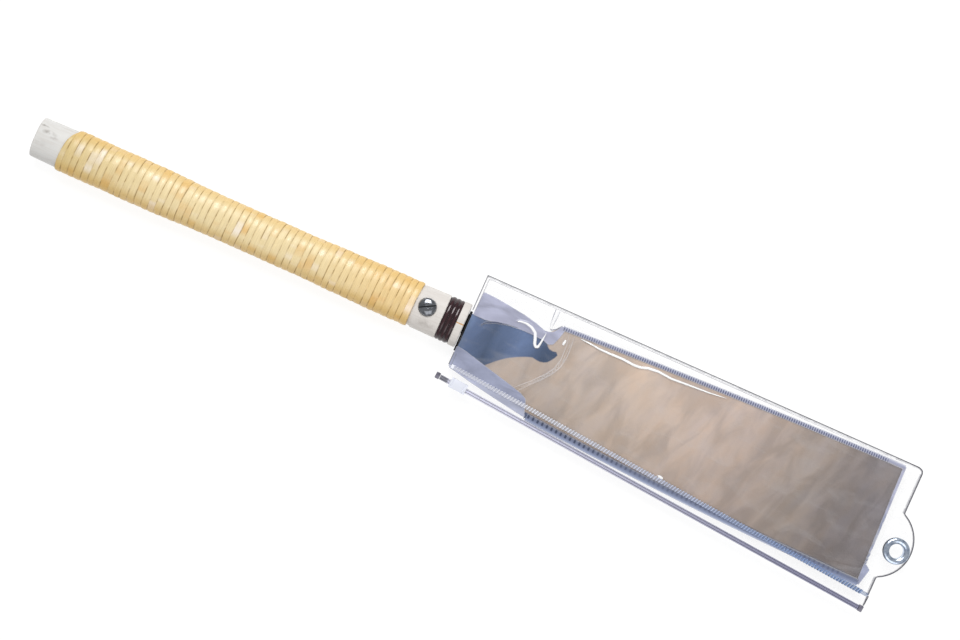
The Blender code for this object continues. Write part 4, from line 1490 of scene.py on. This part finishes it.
@dataclass
class Blade:
    """The blade, toothed on both edges, with its notched tang, its stub, and the zone of painted blue
    reflection on its neck.
    """

    thickness: float = 0.0007
    tang_length: float = 0.042
    tang_half: float = 0.007
    tang_middle: float = 0.0019
    notch_reach: float = -0.0268
    notch: float = 0.0035
    root: tuple[float, float] = (0.0003, 0.0020)
    root_heights: tuple[float, float] = (-0.0174, 0.0111)
    neck_heights: tuple[float, float] = (-0.0140, 0.0098)
    throat: tuple[float, float] = (0.047, 0.0145)
    heel: tuple[float, float] = HEEL
    shoulder: tuple[float, float] = SHOULDER
    flare: tuple[float, float] = (0.0580, -0.0269)
    heel_round: float = 0.005
    toe_low: tuple[float, float] = (0.3093, -0.0513)
    toe_high: tuple[float, float] = (0.308, 0.0345)
    toe_plain: float = 0.0115
    toe_drop: float = 0.0006
    mesh_step: float = 0.0025
    mesh_low: tuple[float, float] = (0.0035, -0.0525)
    mesh_high: tuple[float, float] = (0.309, 0.036)
    coarse_band: float = 0.0044
    fine_band: float = 0.0024
    # Outline of the painted blue reflection on the neck, in millimetres: along the neck's foot, round its
    # beak and back over the top
    blued: Run = (
        (0, -20), (22.5, -20), (23.3, -18.6), (29.2, -12.7), (35, -8), (41, -4.5), (46.8, -1.8),
        (50.4, -0.6), (54, -1.2), (57.4, -1.3), (61.5, 0.8), (64.5, 5.5), (65.7, 8.6), (65, 9.6),
        (63.3, 9.4), (60, 8.6), (57.5, 9.8), (55, 13), (53.5, 18), (48, 18), (0, 18),
    )

    def coarse(self) -> Teeth:
        """The coarse row, from heel to toe."""
        end = (self.toe_low[0] - self.toe_plain, self.toe_low[1])
        return Teeth(self.heel, end, pitch=0.00348, height=0.0036, lean=0.3, bow=0.0020)

    def fine(self) -> Teeth:
        """The fine row, from toe to shoulder."""
        start = (self.toe_high[0] - self.toe_plain, self.toe_high[1])
        return Teeth(start, self.shoulder, pitch=0.00134, height=0.0021, lean=0.7, bow=0.0011)

    def edges(self) -> tuple[np.ndarray, np.ndarray]:
        """Rows of x and y along the coarse and the fine edge, with the plain steel at the toe."""
        coarse = np.vstack((self.coarse().tips(), self.toe_low))
        return coarse, np.vstack((self.toe_high, self.fine().tips()))

    def bend(self, start: Vector, corner: Vector, end: Vector) -> list[Vector]:
        """Round a corner off.

        Args:
            start: Where the bend leaves one line.
            corner: Where the lines meet.
            end: Where it reaches the other.

        Returns:
            Points along the bend.
        """
        shares = [i / 8 for i in range(9)]
        return [start * (1 - t) ** 2 + corner * 2 * t * (1 - t) + end * t**2 for t in shares]

    def outline(self) -> list[Vector]:
        """Go round the blade from the tang's rear, along the coarse teeth, round the toe and back.

        Returns:
            The outline's points.
        """
        low, high = self.tang_middle - self.tang_half, self.tang_middle + self.tang_half
        rear, front = self.root
        neck = Vector((front, self.neck_heights[0], 0))
        flare, heel = Vector((*self.flare, 0)), Vector((*self.heel, 0))
        shoulder, throat = Vector((*self.shoulder, 0)), Vector((*self.throat, 0))
        hollow = throat + Vector(((shoulder.x - throat.x) / 2, (shoulder.y - throat.y) / 4, 0))
        coarse, fine = self.coarse(), self.fine()
        points = [Vector((-self.tang_length, low, 0)), Vector((rear, low, 0))]
        points += [Vector((rear, self.root_heights[0], 0)), Vector((front, self.root_heights[0], 0)), neck]
        before = flare + (neck - flare).normalized() * self.heel_round
        after = flare + (heel - flare).normalized() * self.heel_round
        points += self.bend(before, flare, after)
        points += coarse.outline()
        points += [Vector((*coarse.end, 0)), Vector((*self.toe_low, 0))]
        toe = Vector((self.toe_high[0], self.toe_high[1] - self.toe_drop, 0))
        points += [toe, Vector((*fine.start, 0))]
        points += fine.outline()
        points += self.bend(shoulder, hollow, throat)
        points += [Vector((front, self.neck_heights[1], 0)), Vector((front, self.root_heights[1], 0))]
        points += [Vector((rear, self.root_heights[1], 0)), Vector((rear, high, 0))]
        points.append(Vector((-self.tang_length, high, 0)))
        points.append(Vector((-self.tang_length, self.tang_middle + self.notch, 0)))
        for i in range(17):
            angle = math.pi / 2 - math.pi * i / 16
            arm = Vector((math.cos(angle), math.sin(angle), 0)) * self.notch
            points.append(Vector((self.notch_reach, self.tang_middle, 0)) + arm)
        points.append(Vector((-self.tang_length, self.tang_middle - self.notch, 0)))
        return points

    def build(self) -> Piece:
        """Cut the plate's outline into small faces, set its teeth and give it its thickness.

        Returns:
            The blade.
        """
        plate = flat_shape(self.outline(), filled=True)
        xs, ys = (np.arange(low, high, self.mesh_step) for low, high in zip(self.mesh_low, self.mesh_high))
        with editing(plate):
            bpy.ops.mesh.quads_convert_to_tris()
            for x in xs:
                bpy.ops.mesh.select_all(action="SELECT")
                bpy.ops.mesh.bisect(plane_co=(x, 0, 0), plane_no=(1, 0, 0))
            for y in ys:
                bpy.ops.mesh.select_all(action="SELECT")
                bpy.ops.mesh.bisect(plane_co=(0, y, 0), plane_no=(0, 1, 0))
        points = places(plate)
        lift = self.coarse().offset(points[:, :2]) + self.fine().offset(points[:, :2])
        for vertex, z in zip(plate.data.vertices, lift):
            vertex.co.z = z
        apply_modifier(plate, "SOLIDIFY", thickness=self.thickness, offset=0)
        flat = places(plate)[:, :2]
        note(plate, "blued", inside(flat, np.array(self.blued) * MM))
        bands = ((self.coarse(), self.coarse_band), (self.fine(), self.fine_band))
        depths = (np.abs(beside(flat, row.tips())[0]) / depth for row, depth in bands)
        note(plate, "edge", np.minimum(*depths))
        return plate

    def dress(self) -> None:
        """Build the blade and fit it."""
        fit(self.build(), "blade_plate", STEEL, Body.BLADE, "saw_blade")


@dataclass(frozen=True)
class Crease:
    """A crease pressed into the film: its run in millimetres, its half width and its height."""

    run: Run
    half_width: float
    rise: float

    def measure(self, points: np.ndarray) -> tuple[np.ndarray, np.ndarray]:
        """Measure points against the crease.

        Args:
            points: Rows of x and y.

        Returns:
            Distances as a share of the crease's width, which tapers to both ends, and heights.
        """
        away, share = beside(points, np.array(self.run) * MM)
        width = self.half_width * (0.06 + np.sin(np.clip(share, 0, 1) * math.pi) ** 0.5)
        ratio = away / width
        return ratio, self.rise * np.exp(-np.clip(ratio, -6, 6) ** 2)


@dataclass
class Sleeve:
    """The clear sleeve: two sheets welded round the blade, the tab with its eyelet, and the zip below."""

    blade: Blade
    film: float = 0.00024
    sheet_level: float = 0.00105
    weld_level: float = 0.0004
    top_hem: float = 0.0012
    end_hem: float = 0.0014
    mouth: float = 0.0010
    top: float = 0.0377
    end_top: tuple[float, float] = (0.3198, 0.0377)
    track_start: tuple[float, float] = (-0.003787, -0.036911)
    track_end: tuple[float, float] = (0.3195, -0.0645)
    seal_rise: float = 0.0100
    corner: float = 0.004
    tab_drop: float = 0.0180
    tab_half: float = 0.0232
    tab_reach: float = 0.0149
    eyelet: tuple[float, float] = (0.324531, -0.019814)
    eyelet_rim: float = 0.0089
    eyelet_hole: float = 0.0049
    eyelet_wall: float = 0.0005
    flange_low: float = 0.0016
    flange_high: float = 0.0025
    rail_half: float = 0.0018
    rail_top: float = 0.0020
    stop_length: float = 0.003
    stop_half: float = 0.0022
    slider_start: float = 0.0108
    slider_length: float = 0.012
    stop_round: float = 0.0005
    slider_round: float = 0.0004
    fit_gap: float = 0.0003
    flat_size: tuple[float, float] = (0.1022, 0.3335)
    columns: int = 280
    rows: int = 110
    # Slow waves of the film: strength, radians a millimetre along and across, share of the phase, start
    waves: tuple[tuple[float, float, float, float, float], ...] = (
        (1.0, 0.11, 0.19, 1.0, 0.0),
        (0.7, 0.21, -0.13, 1.3, 0.0),
        (0.5, 0.37, 0.31, 0.0, 0.7),
        (0.4, -0.07, 0.55, 0.0, 0.0),
    )
    wave_height: float = 0.00012
    least_level: float = 0.00082
    # Creases drawn white with painted highlight, each from its first end to its last
    creases: tuple[Crease, ...] = (
        Crease(((31, 17.2), (34, 18.3), (38, 18.6), (42, 17.6), (45.6, 15.2), (46.9, 12), (48, 8.6),
            (49.5, 6.8), (51, 7.4), (51.7, 12), (52.4, 18.4)), 0.0012, 0.0009),
        Crease(((66.3, 19.4), (65.8, 17.2), (65.5, 14.6)), 0.0010, 0.0006),
        Crease(((74, 23.9), (82, 23.5), (89, 22.8), (97, 22.7), (105, 23), (115, 22.3), (119, 22.7),
            (124, 24.3), (131, 25), (141, 24.2), (153, 25), (167, 25.8), (180, 27.2)), 0.0010, 0.0005),
        Crease(((158, -38.6), (160.5, -38.7), (163, -39)), 0.0012, 0.0004),
    )
    # Fainter folds, drawn as veils of painted reflection
    veils: tuple[Crease, ...] = (
        Crease(((47, -24), (51, -20), (55.6, -15.6), (60, -10.6), (63.5, -6.4), (66.8, -1), (68.4, 6),
            (68, 16), (66, 26)), 0.0006, 0.0002),
        Crease(((50, -25), (56, -18), (62, -11.5), (67, -5), (70, 1), (71.4, 9), (71, 18),
            (70, 26)), 0.0006, 0.0001),
        Crease(((54.2, 36), (53.4, 28), (53.5, 21.5)), 0.0017, 0.0004),
    )
    # Fold lines drawn dark with painted shade
    folds: tuple[Crease, ...] = (
        Crease(((51.8, 36.2), (52.2, 28), (53, 22)), 0.0005, 0.0001),
        Crease(((55, 36.2), (54.7, 28), (54.1, 21.6)), 0.0005, 0.0001),
        Crease(((52.6, 22.4), (54.6, 21.2), (57.4, 23), (60.4, 27)), 0.0006, 0.0001),
        Crease(((10.6, 4.4), (10.8, 6.4), (13.3, 8.6), (16.5, 10), (20, 11.2), (26.7, 12.7),
            (34, 13.6)), 0.0008, 0.0002),
    )
    # Zones of lilac painted shade on the film beside the neck and past the toe, in millimetres
    slack: tuple[Run, ...] = (
        ((3.2, 26.3), (12, 25.9), (21, 25), (35, 23.2), (44, 21.3), (50.5, 19.2), (53.5, 19.6),
            (56, 20.4), (58, 22.6), (60.2, 26.2), (63.6, 26.4), (61.5, 18), (59.6, 13), (56.5, 11.5),
            (52, 13), (44, 13.4), (37, 13.4), (26, 12.6), (18, 10.8), (11, 9.6), (2.7, 9.6)),
        ((1.4, -13.6), (9.4, -15), (22, -18), (30, -19.9), (40, -22.2), (47, -23.9), (53.4, -25.6),
            (57.4, -27.6), (59.4, -32), (60, -36), (62.4, -39.4), (35, -35.1), (18, -32.1), (4, -29.2),
            (1.4, -29)),
        ((305.9, 34), (307.9, 34.2), (309.6, -36), (313.2, -38.6), (311.4, -46), (310.4, -50.6),
            (308.5, -50.6), (307.6, -20)),
    )

    def along(self) -> Vector:
        """The zip's way, from its mouth end to its far end."""
        return (Vector((*self.track_end, 0)) - Vector((*self.track_start, 0))).normalized()

    def track_length(self) -> float:
        """How long the zip is, between the outer faces of its stops."""
        return math.dist(self.track_start, self.track_end)

    def to_track(self) -> Matrix:
        """Carry a piece drawn along X from the zip's start to its place."""
        way = self.along()
        turn = Matrix.Rotation(math.atan2(way.y, way.x), 4, "Z")
        return Matrix.Translation((*self.track_start, 0)) @ turn

    def seal_height(self, x: np.ndarray) -> np.ndarray:
        """Height of the seal's middle line at places along X."""
        way = self.along()
        start_x = self.track_start[0] - way.y * self.seal_rise
        start_y = self.track_start[1] + way.x * self.seal_rise
        return start_y + (x - start_x) * way.y / way.x

    def end_reach(self, y: np.ndarray) -> np.ndarray:
        """How far the sheets reach at heights along Y, with the tab and the round corner.

        Args:
            y: Heights.

        Returns:
            Places along X.
        """
        (low_x, low_y), (high_x, high_y) = self.track_end, self.end_top
        straight = low_x + (y - low_y) / (high_y - low_y) * (high_x - low_x)
        radius = (self.tab_half**2 + self.tab_reach**2) / (2 * self.tab_reach)
        off = y + self.tab_drop
        arc = np.sqrt(np.clip(radius**2 - off**2, 0, None)) + self.tab_reach - radius
        over = np.clip(y - self.top + self.corner, 0, self.corner)
        cut = self.corner - np.sqrt(np.clip(self.corner**2 - over**2, 0, None))
        return straight + np.clip(arc, 0, None) - cut

    def rim(self, points: np.ndarray) -> np.ndarray:
        """Measure how far points lie from the mouth, the top and the end edges, tab and all.

        Args:
            points: Rows of x and y.

        Returns:
            Distances to the nearest of these edges.
        """
        heights = np.linspace(self.track_end[1] + self.seal_rise, self.top, 90)
        end = np.stack((self.end_reach(heights), heights), axis=1)
        edge = np.vstack((end, [[self.mouth, self.top], [self.mouth, self.track_start[1]]]))
        return np.abs(beside(points, edge)[0])

    def level(self, points: np.ndarray, face: Face) -> np.ndarray:
        """Find how far the film lies off the blade's middle plane.

        Args:
            points: Rows of x and y.
            face: Which sheet.

        Returns:
            Heights of the film's middle, without sign.
        """
        x, y = points[:, 0] / MM, points[:, 1] / MM
        phase = 0.0 if face is Face.UPPER else 2.1
        wave = sum(s * np.sin(x * a + y * b + phase * c + d) for s, a, b, c, d in self.waves)
        edge = self.rim(points)
        seal = points[:, 1] - self.seal_height(points[:, 0])
        calm = smooth_step(edge, 2.5 * MM, 9 * MM) * smooth_step(seal, 2 * MM, 7 * MM)
        at_mouth = points[:, 0] - self.mouth < edge + 0.05 * MM
        drop = np.where(at_mouth, 1, smooth_step(edge, 0.4 * MM, 2.6 * MM))
        height = self.weld_level + (self.sheet_level - self.weld_level) * drop
        height = height + calm * self.wave_height * wave
        if face is Face.UPPER:
            for crease in (*self.creases, *self.veils, *self.folds):
                height += crease.measure(points)[1] * calm
        return np.where(drop > 0.98, np.maximum(height, self.least_level), height)

    def build_sheet(self, face: Face) -> Piece:
        """Shape a grid into a sheet with its tab, wrinkle it, give it its thickness and punch its hole.

        Args:
            face: Which sheet.

        Returns:
            The sheet.
        """
        bpy.ops.object.select_all(action="DESELECT")
        bpy.ops.mesh.primitive_grid_add(x_subdivisions=self.columns, y_subdivisions=self.rows, size=1)
        sheet = bpy.context.object
        grid = places(sheet)[:, :2] + 0.5
        x = self.mouth + grid[:, 0] * (self.track_end[0] - self.mouth)
        low = self.seal_height(x)
        y = low + grid[:, 1] * (self.top - low)
        late = np.clip((grid[:, 0] - 0.85) / 0.15, 0, 1)
        x = x + late * (self.end_reach(y) - self.track_end[0])
        flat = np.stack((x, y), axis=1)
        height = self.level(flat, face) * face.value
        for vertex, (px, py), pz in zip(sheet.data.vertices, flat, height):
            vertex.co = (px, py, pz)
        apply_modifier(sheet, "SOLIDIFY", thickness=self.film, offset=0)
        with editing(sheet):
            bpy.ops.mesh.normals_make_consistent(inside=False)
        hole = self.eyelet_hole + self.eyelet_wall + self.fit_gap
        past = 10 * MM
        carve(sheet, disc(hole, -past, past, Vector((*self.eyelet, 0))))
        flat = places(sheet)[:, :2]
        low, high = self.blade.root_heights
        over_root = (flat[:, 0] < 5 * MM) & (flat[:, 1] > low - MM) & (flat[:, 1] < high + MM)
        note(sheet, "rim", np.where(over_root, 1.0, self.rim(flat)))
        note(sheet, "slack", self.deepest(flat, face))
        note(sheet, "crease", self.nearest(flat, self.creases if face is Face.UPPER else ()))
        note(sheet, "veil", self.nearest(flat, self.veils if face is Face.UPPER else ()))
        note(sheet, "fold", self.nearest(flat, self.folds if face is Face.UPPER else ()))
        coarse, fine = self.blade.edges()
        note(sheet, "coarse", self.over_teeth(flat, coarse))
        note(sheet, "fine", self.over_teeth(flat, fine))
        return sheet

    def deepest(self, points: np.ndarray, face: Face) -> np.ndarray:
        """Measure how deep points lie in the painted shade zones, which show on the upper sheet alone."""
        if face is Face.UNDER:
            return np.full(len(points), -1.0)
        return np.max([inside(points, np.array(zone) * MM) for zone in self.slack], axis=0)

    def nearest(self, points: np.ndarray, creases: Sequence[Crease]) -> np.ndarray:
        """Measure points against the nearest crease.

        Args:
            points: Rows of x and y.
            creases: The creases.

        Returns:
            Signed distances as shares of the nearest crease's width, stretched away from it so that no
            change of sign between two creases looks like one.
        """
        best = np.full(len(points), 400.0)
        for crease in creases:
            ratio = crease.measure(points)[0]
            ratio = np.clip(ratio + np.sign(ratio) * (np.abs(ratio) / 3) ** 4, -400, 400)
            best = np.where(np.abs(ratio) < np.abs(best), ratio, best)
        return best

    def over_teeth(self, points: np.ndarray, edge: np.ndarray) -> np.ndarray:
        """Measure how far points lie inside a toothed edge of the blade.

        Args:
            points: Rows of x and y.
            edge: Rows of x and y along the tips.

        Returns:
            Distances from the tips inwards, or -1 beyond the edge's ends.
        """
        within, share = beside(points, edge)
        return np.where((share > 0) & (share < 1), within, -1.0)

    def build_eyelet(self) -> Piece:
        """Turn the eyelet: a barrel rolled over into a rounded rim.

        Returns:
            The eyelet.
        """
        hole, outer, rim = self.eyelet_hole, self.eyelet_hole + self.eyelet_wall, self.eyelet_rim
        base, high = self.flange_low, self.flange_high
        ease, roll = 0.0002, 0.0004
        profile = [(hole, -high), (outer, -high), (outer, base), (rim - ease, base), (rim, base + ease)]
        for i in range(1, 13):
            share = i / 13
            crest = math.sin(math.pi * min(1, share * 1.02)) ** 0.55
            profile.append((rim + (hole + roll - rim) * share, base + ease + (high - base - ease) * crest))
        profile += [(hole + ease / 2, base + ease / 2), (hole, base - roll)]
        eyelet = lathe(profile, 80)
        eyelet.data.transform(Matrix.Translation((*self.eyelet, 0)))
        return eyelet

    def build_washer(self) -> Piece:
        """Turn the dished washer behind the eyelet.

        Returns:
            The washer.
        """
        bore, rim = self.eyelet_hole + self.eyelet_wall + self.fit_gap, self.eyelet_rim
        low, high = -self.flange_high, -self.flange_low
        ease, round_off, brim, dish = 0.0002, 0.0003, 0.0004, 0.0014
        profile = [(bore, high), (bore, low + round_off), (bore + round_off, low), (rim - dish, low)]
        profile += [(rim - brim, low + round_off), (rim, high - ease), (rim - ease, high)]
        washer = lathe(profile, 80)
        washer.data.transform(Matrix.Translation((*self.eyelet, 0)))
        return washer

    def build_weld(self, start: Vector, end: Vector, width: float) -> Piece:
        """Press a welded strip with two ridges, to the left of the way from start to end.

        Args:
            start: Where the strip starts.
            end: Where it ends.
            width: Its width.

        Returns:
            The strip.
        """
        inset, half, ridge = 0.0004, 0.00018, 0.00024
        section = [(inset, -half), (inset + width, -half)]
        heights = ((1, half), (0.8, ridge), (0.6, half), (0.4, half), (0.2, ridge), (0, half))
        section += [(inset + width * share, height) for share, height in heights]
        strip = prism(section, 0, (end - start).length)
        way = end - start
        turn = Matrix.Rotation(math.atan2(way.y, way.x), 4, "Z")
        strip.data.transform(Matrix.Translation(start) @ turn)
        return strip

    def build_rail(self) -> Piece:
        """Extrude the upper zip strip: a ridged rail and the flange that runs to the seal.

        Returns:
            The strip.
        """
        half, top = self.rail_half, self.rail_top
        low, high = self.sheet_level - self.film / 2, self.sheet_level + self.film / 2
        flange = self.seal_rise - self.fit_gap
        parting, edge, land, groove, depth = 0.00015, 0.0004, 0.0003, 0.00015, 0.0005
        ways = np.linspace(half, flange, 9)
        section = [(-half, parting), (half, parting)]
        section += [(y, low) for y in ways] + [(y, high) for y in ways[::-1]]
        section += [(half, top - edge), (half - land, top)]
        for share in (0.5, 0.0, -0.5):
            middle = share * half
            section += [(middle + land, top), (middle + groove, top - depth)]
            section += [(middle - groove, top - depth), (middle - land, top)]
        section += [(land - half, top), (-half, top - edge)]
        start = self.stop_length + self.fit_gap
        end = self.track_length() - start
        rail = prism(section, start, end)
        with editing(rail):
            for x in np.arange(start + 3 * MM, end, 3 * MM):
                bpy.ops.mesh.select_all(action="SELECT")
                bpy.ops.mesh.bisect(plane_co=(x, 0, 0), plane_no=(1, 0, 0))
        note(rail, "across", places(rail)[:, 1])
        # The flange runs on past the end stop to the sheets' end
        for vertex in rail.data.vertices:
            if vertex.co.x > end - 0.1 * MM and vertex.co.y > self.stop_half + 0.3 * MM:
                vertex.co.x += self.stop_length
        rail.data.transform(self.to_track())
        flat = places(rail)[:, :2]
        note(rail, "slack", self.deepest(flat, Face.UPPER))
        note(rail, "coarse", self.over_teeth(flat, self.blade.edges()[0]))
        return rail

    def build_ribs(self) -> Piece:
        """Press a row of slanted ribs over a thin seal band.

        Returns:
            The upper band.
        """
        pitch, half_rib, lean = 0.00209, 0.00042, 0.0011
        half_band, half_web, margin = 0.00165, 0.0013, 0.002
        low, mid, high = 0.0016, 0.00166, 0.0020
        start, end = 0.0063, self.track_length() - 0.0015
        web = ((-half_web, low), (half_web, low), (half_web, mid), (-half_web, mid))
        band = prism([(self.seal_rise + y, z) for y, z in web], start, end)
        note(band, "ridge", np.zeros(len(band.data.vertices)))
        ribs = []
        for i in range(int((end - start - 2 * margin) / pitch)):
            middle = start + margin + pitch * i
            corners = [(-half_rib - lean / 2, -half_band), (half_rib - lean / 2, -half_band)]
            corners += [(half_rib + lean / 2, half_band), (-half_rib + lean / 2, half_band)]
            ribs.append([(middle + x, self.seal_rise + y) for x, y in corners])
        points, faces = [], []
        for rib in ribs:
            base = len(points)
            centre = np.mean(rib, axis=0)
            points += [(x, y, low) for x, y in rib]
            points += [(*(centre + (np.array(corner) - centre) * 0.8), high) for corner in rib]
            faces += [[base + 3, base + 2, base + 1, base], [base + 4, base + 5, base + 6, base + 7]]
            for j, after in enumerate((1, 2, 3, 0)):
                faces.append([base + j, base + after, base + 4 + after, base + 4 + j])
        row = raw_mesh("ribs", np.array(points), faces)
        note(row, "ridge", np.ones(len(points)))
        select_only(band)
        row.select_set(True)
        bpy.ops.object.join()
        band.data.transform(self.to_track())
        return band

    def build_stop(self, start: float) -> Piece:
        """Mould a stop that clips both rails together.

        Args:
            start: Where it starts along the zip.

        Returns:
            The stop.
        """
        half, top = self.stop_half, self.rail_top
        section = [(-half, -top), (half, -top), (half, top), (-half, top)]
        stop = prism(section, start, start + self.stop_length)
        apply_modifier(stop, "BEVEL", width=self.stop_round, segments=3, limit_method="NONE")
        stop.data.transform(self.to_track())
        return stop

    def build_slider(self) -> Piece:
        """Mould the slider: a channel round both rails with rounded corners and a thumb rest.

        Returns:
            The slider.
        """
        wall, lip_reach, lip = 0.0010, 0.0017, 0.0016
        grip_off, grip, grip_half = 0.0042, 0.0004, 0.006
        inner = self.rail_top + self.fit_gap
        outer, web = inner + wall, self.rail_half + self.fit_gap
        half = [(-web, inner), (web, inner), (web, lip), (web + lip_reach, lip), (web + lip_reach, outer)]
        half.append((-web - wall, outer))
        section = half + [(y, -z) for y, z in half[::-1]]
        middle = self.slider_start + self.slider_length / 2
        slider = prism(section, self.slider_start, self.slider_start + self.slider_length)
        for side in (-1, 1):
            for place in (-grip_off, grip_off):
                groove = lathe([(0, -grip_half), (grip, -grip_half), (grip, grip_half), (0, grip_half)], 16)
                groove.data.transform(Matrix.Rotation(math.pi / 2, 4, "X"))
                groove.data.transform(Matrix.Translation((middle + place, 0, side * (outer + grip / 4))))
                carve(slider, groove)
        settings = {"limit_method": "ANGLE", "angle_limit": math.radians(60)}
        apply_modifier(slider, "BEVEL", width=self.slider_round, segments=3, **settings)
        slider.data.transform(self.to_track())
        return slider

    def dress_film(self) -> None:
        """Build both sheets and fit them."""
        for face, node in ((Face.UPPER, "sleeve_upper_sheet"), (Face.UNDER, "sleeve_under_sheet")):
            name = f"film_{face.name.lower()}"
            sheet = fit(self.build_sheet(face), name, FILM, Body.SLEEVE, node)

    def dress_welds(self) -> None:
        """Build the welded edges and the eyelet and fit them."""
        mouth_top, end_top = Vector((self.mouth, self.top, 0)), Vector((*self.end_top, 0))
        foot = self.track_end[1] + self.seal_rise * 0.98
        tab_low, tab_high = -self.tab_drop - self.tab_half, self.tab_half - self.tab_drop
        heights = {"below": (foot, tab_low), "above": (tab_high, self.top - self.corner)}
        top_end = end_top - Vector((self.corner, 0, 0))
        weld = self.build_weld(top_end, mouth_top, self.top_hem)
        fit(weld, "top_hem", WELD, Body.SLEEVE, "top_weld")
        for where, span in heights.items():
            reaches = np.interp(span, (self.track_end[1], self.top), (self.track_end[0], self.end_top[0]))
            start, end = (Vector((x, y, 0)) for x, y in zip(reaches, span))
            weld = self.build_weld(start, end, self.end_hem)
            fit(weld, f"end_hem_{where}", WELD, Body.SLEEVE, f"end_weld_{where}_tab")
        fit(self.build_eyelet(), "eyelet_ring", NICKEL, Body.SLEEVE, "eyelet")
        fit(self.build_washer(), "eyelet_back", NICKEL, Body.SLEEVE, "eyelet_washer")

    def dress_zip(self) -> None:
        """Build the zip and fit it."""
        rail, ribs = self.build_rail(), self.build_ribs()
        under_rail, under_ribs = mirrored(rail), mirrored(ribs)
        fit(rail, "zip_rail_upper", ZIP, Body.SLEEVE, "zip_strip_upper")
        fit(under_rail, "zip_rail_under", ZIP, Body.SLEEVE, "zip_strip_under")
        fit(ribs, "seal_ribs_upper", RIBS, Body.SLEEVE, "seal_band_upper")
        fit(under_ribs, "seal_ribs_under", RIBS, Body.SLEEVE, "seal_band_under")
        fit(self.build_stop(0), "mouth_stop", STOP, Body.SLEEVE, "zip_stop_mouth")
        far = self.track_length() - self.stop_length
        fit(self.build_stop(far), "end_stop", STOP, Body.SLEEVE, "zip_stop_end")
        fit(self.build_slider(), "slider_body", SLIDER, Body.SLIDER, "zip_slider")

    def dress(self) -> None:
        """Build all of the sleeve's pieces."""
        self.dress_film()
        self.dress_welds()
        self.dress_zip()


@dataclass
class Studio:
    """A pale floor, soft daylight with a key light on the fine teeth's side, and the camera."""

    distance: float = 1.30
    span: float = 0.640
    turn: float = math.radians(24)
    aim: tuple[float, float] = (0.0084, 0.0081)
    sensor: float = 36.0
    floor: float = 12.0
    daylight: float = 0.45

    def light_floor(self) -> None:
        """Lay the floor and light it."""
        bpy.ops.object.select_all(action="DESELECT")
        bpy.ops.mesh.primitive_plane_add(size=self.floor)
        floor = bpy.context.object
        floor.name = "floor"
        CARD.dress(floor)
        world = bpy.data.worlds.new("daylight")
        world.use_nodes = True
        sky = world.node_tree.nodes["Background"]
        sky.inputs["Color"].default_value = linear("ffffff")
        sky.inputs["Strength"].default_value = self.daylight
        bpy.context.scene.world = world
        self.add_light("key", (-0.35, 1.0, 1.5), size=1.0, power=22.0)
        self.add_light("fill", (0.5, -0.9, 1.4), size=1.2, power=5.0)

    def add_light(self, name: str, place: tuple[float, float, float], size: float, power: float) -> None:
        """Hang a soft light that faces the saw.

        Args:
            name: The light's name.
            place: Where it hangs.
            size: Its side.
            power: Its power in watts.
        """
        lamp = bpy.data.lights.new(name, "AREA")
        lamp.size = size
        lamp.energy = power
        light = bpy.data.objects.new(name, lamp)
        light.location = place
        light.rotation_euler = (-Vector(place)).to_track_quat("-Z", "Y").to_euler()
        bpy.context.scene.collection.objects.link(light)

    def set_camera(self) -> None:
        """Stand the camera straight over the saw, turned as the photograph is."""
        lens = bpy.data.cameras.new("camera")
        lens.sensor_width = self.sensor
        lens.lens = self.sensor * self.distance / self.span
        camera = bpy.data.objects.new("camera", lens)
        camera.location = NOSE + Vector((*self.aim, self.distance))
        camera.rotation_euler = (0, 0, self.turn)
        bpy.context.scene.collection.objects.link(camera)
        bpy.context.scene.camera = camera
        bpy.context.scene.view_settings.view_transform = "Standard"


def main() -> None:
    """Build the saw in order: handle, blade, sleeve, then the studio round them."""
    logging.basicConfig(level=logging.INFO, format="%(message)s")
    studio = Studio()
    studio.set_camera()
    Handle(Stick()).dress()
    blade = Blade()
    blade.dress()
    Sleeve(blade).dress()
    studio.light_floor()


if __name__ == "__main__":
    main()
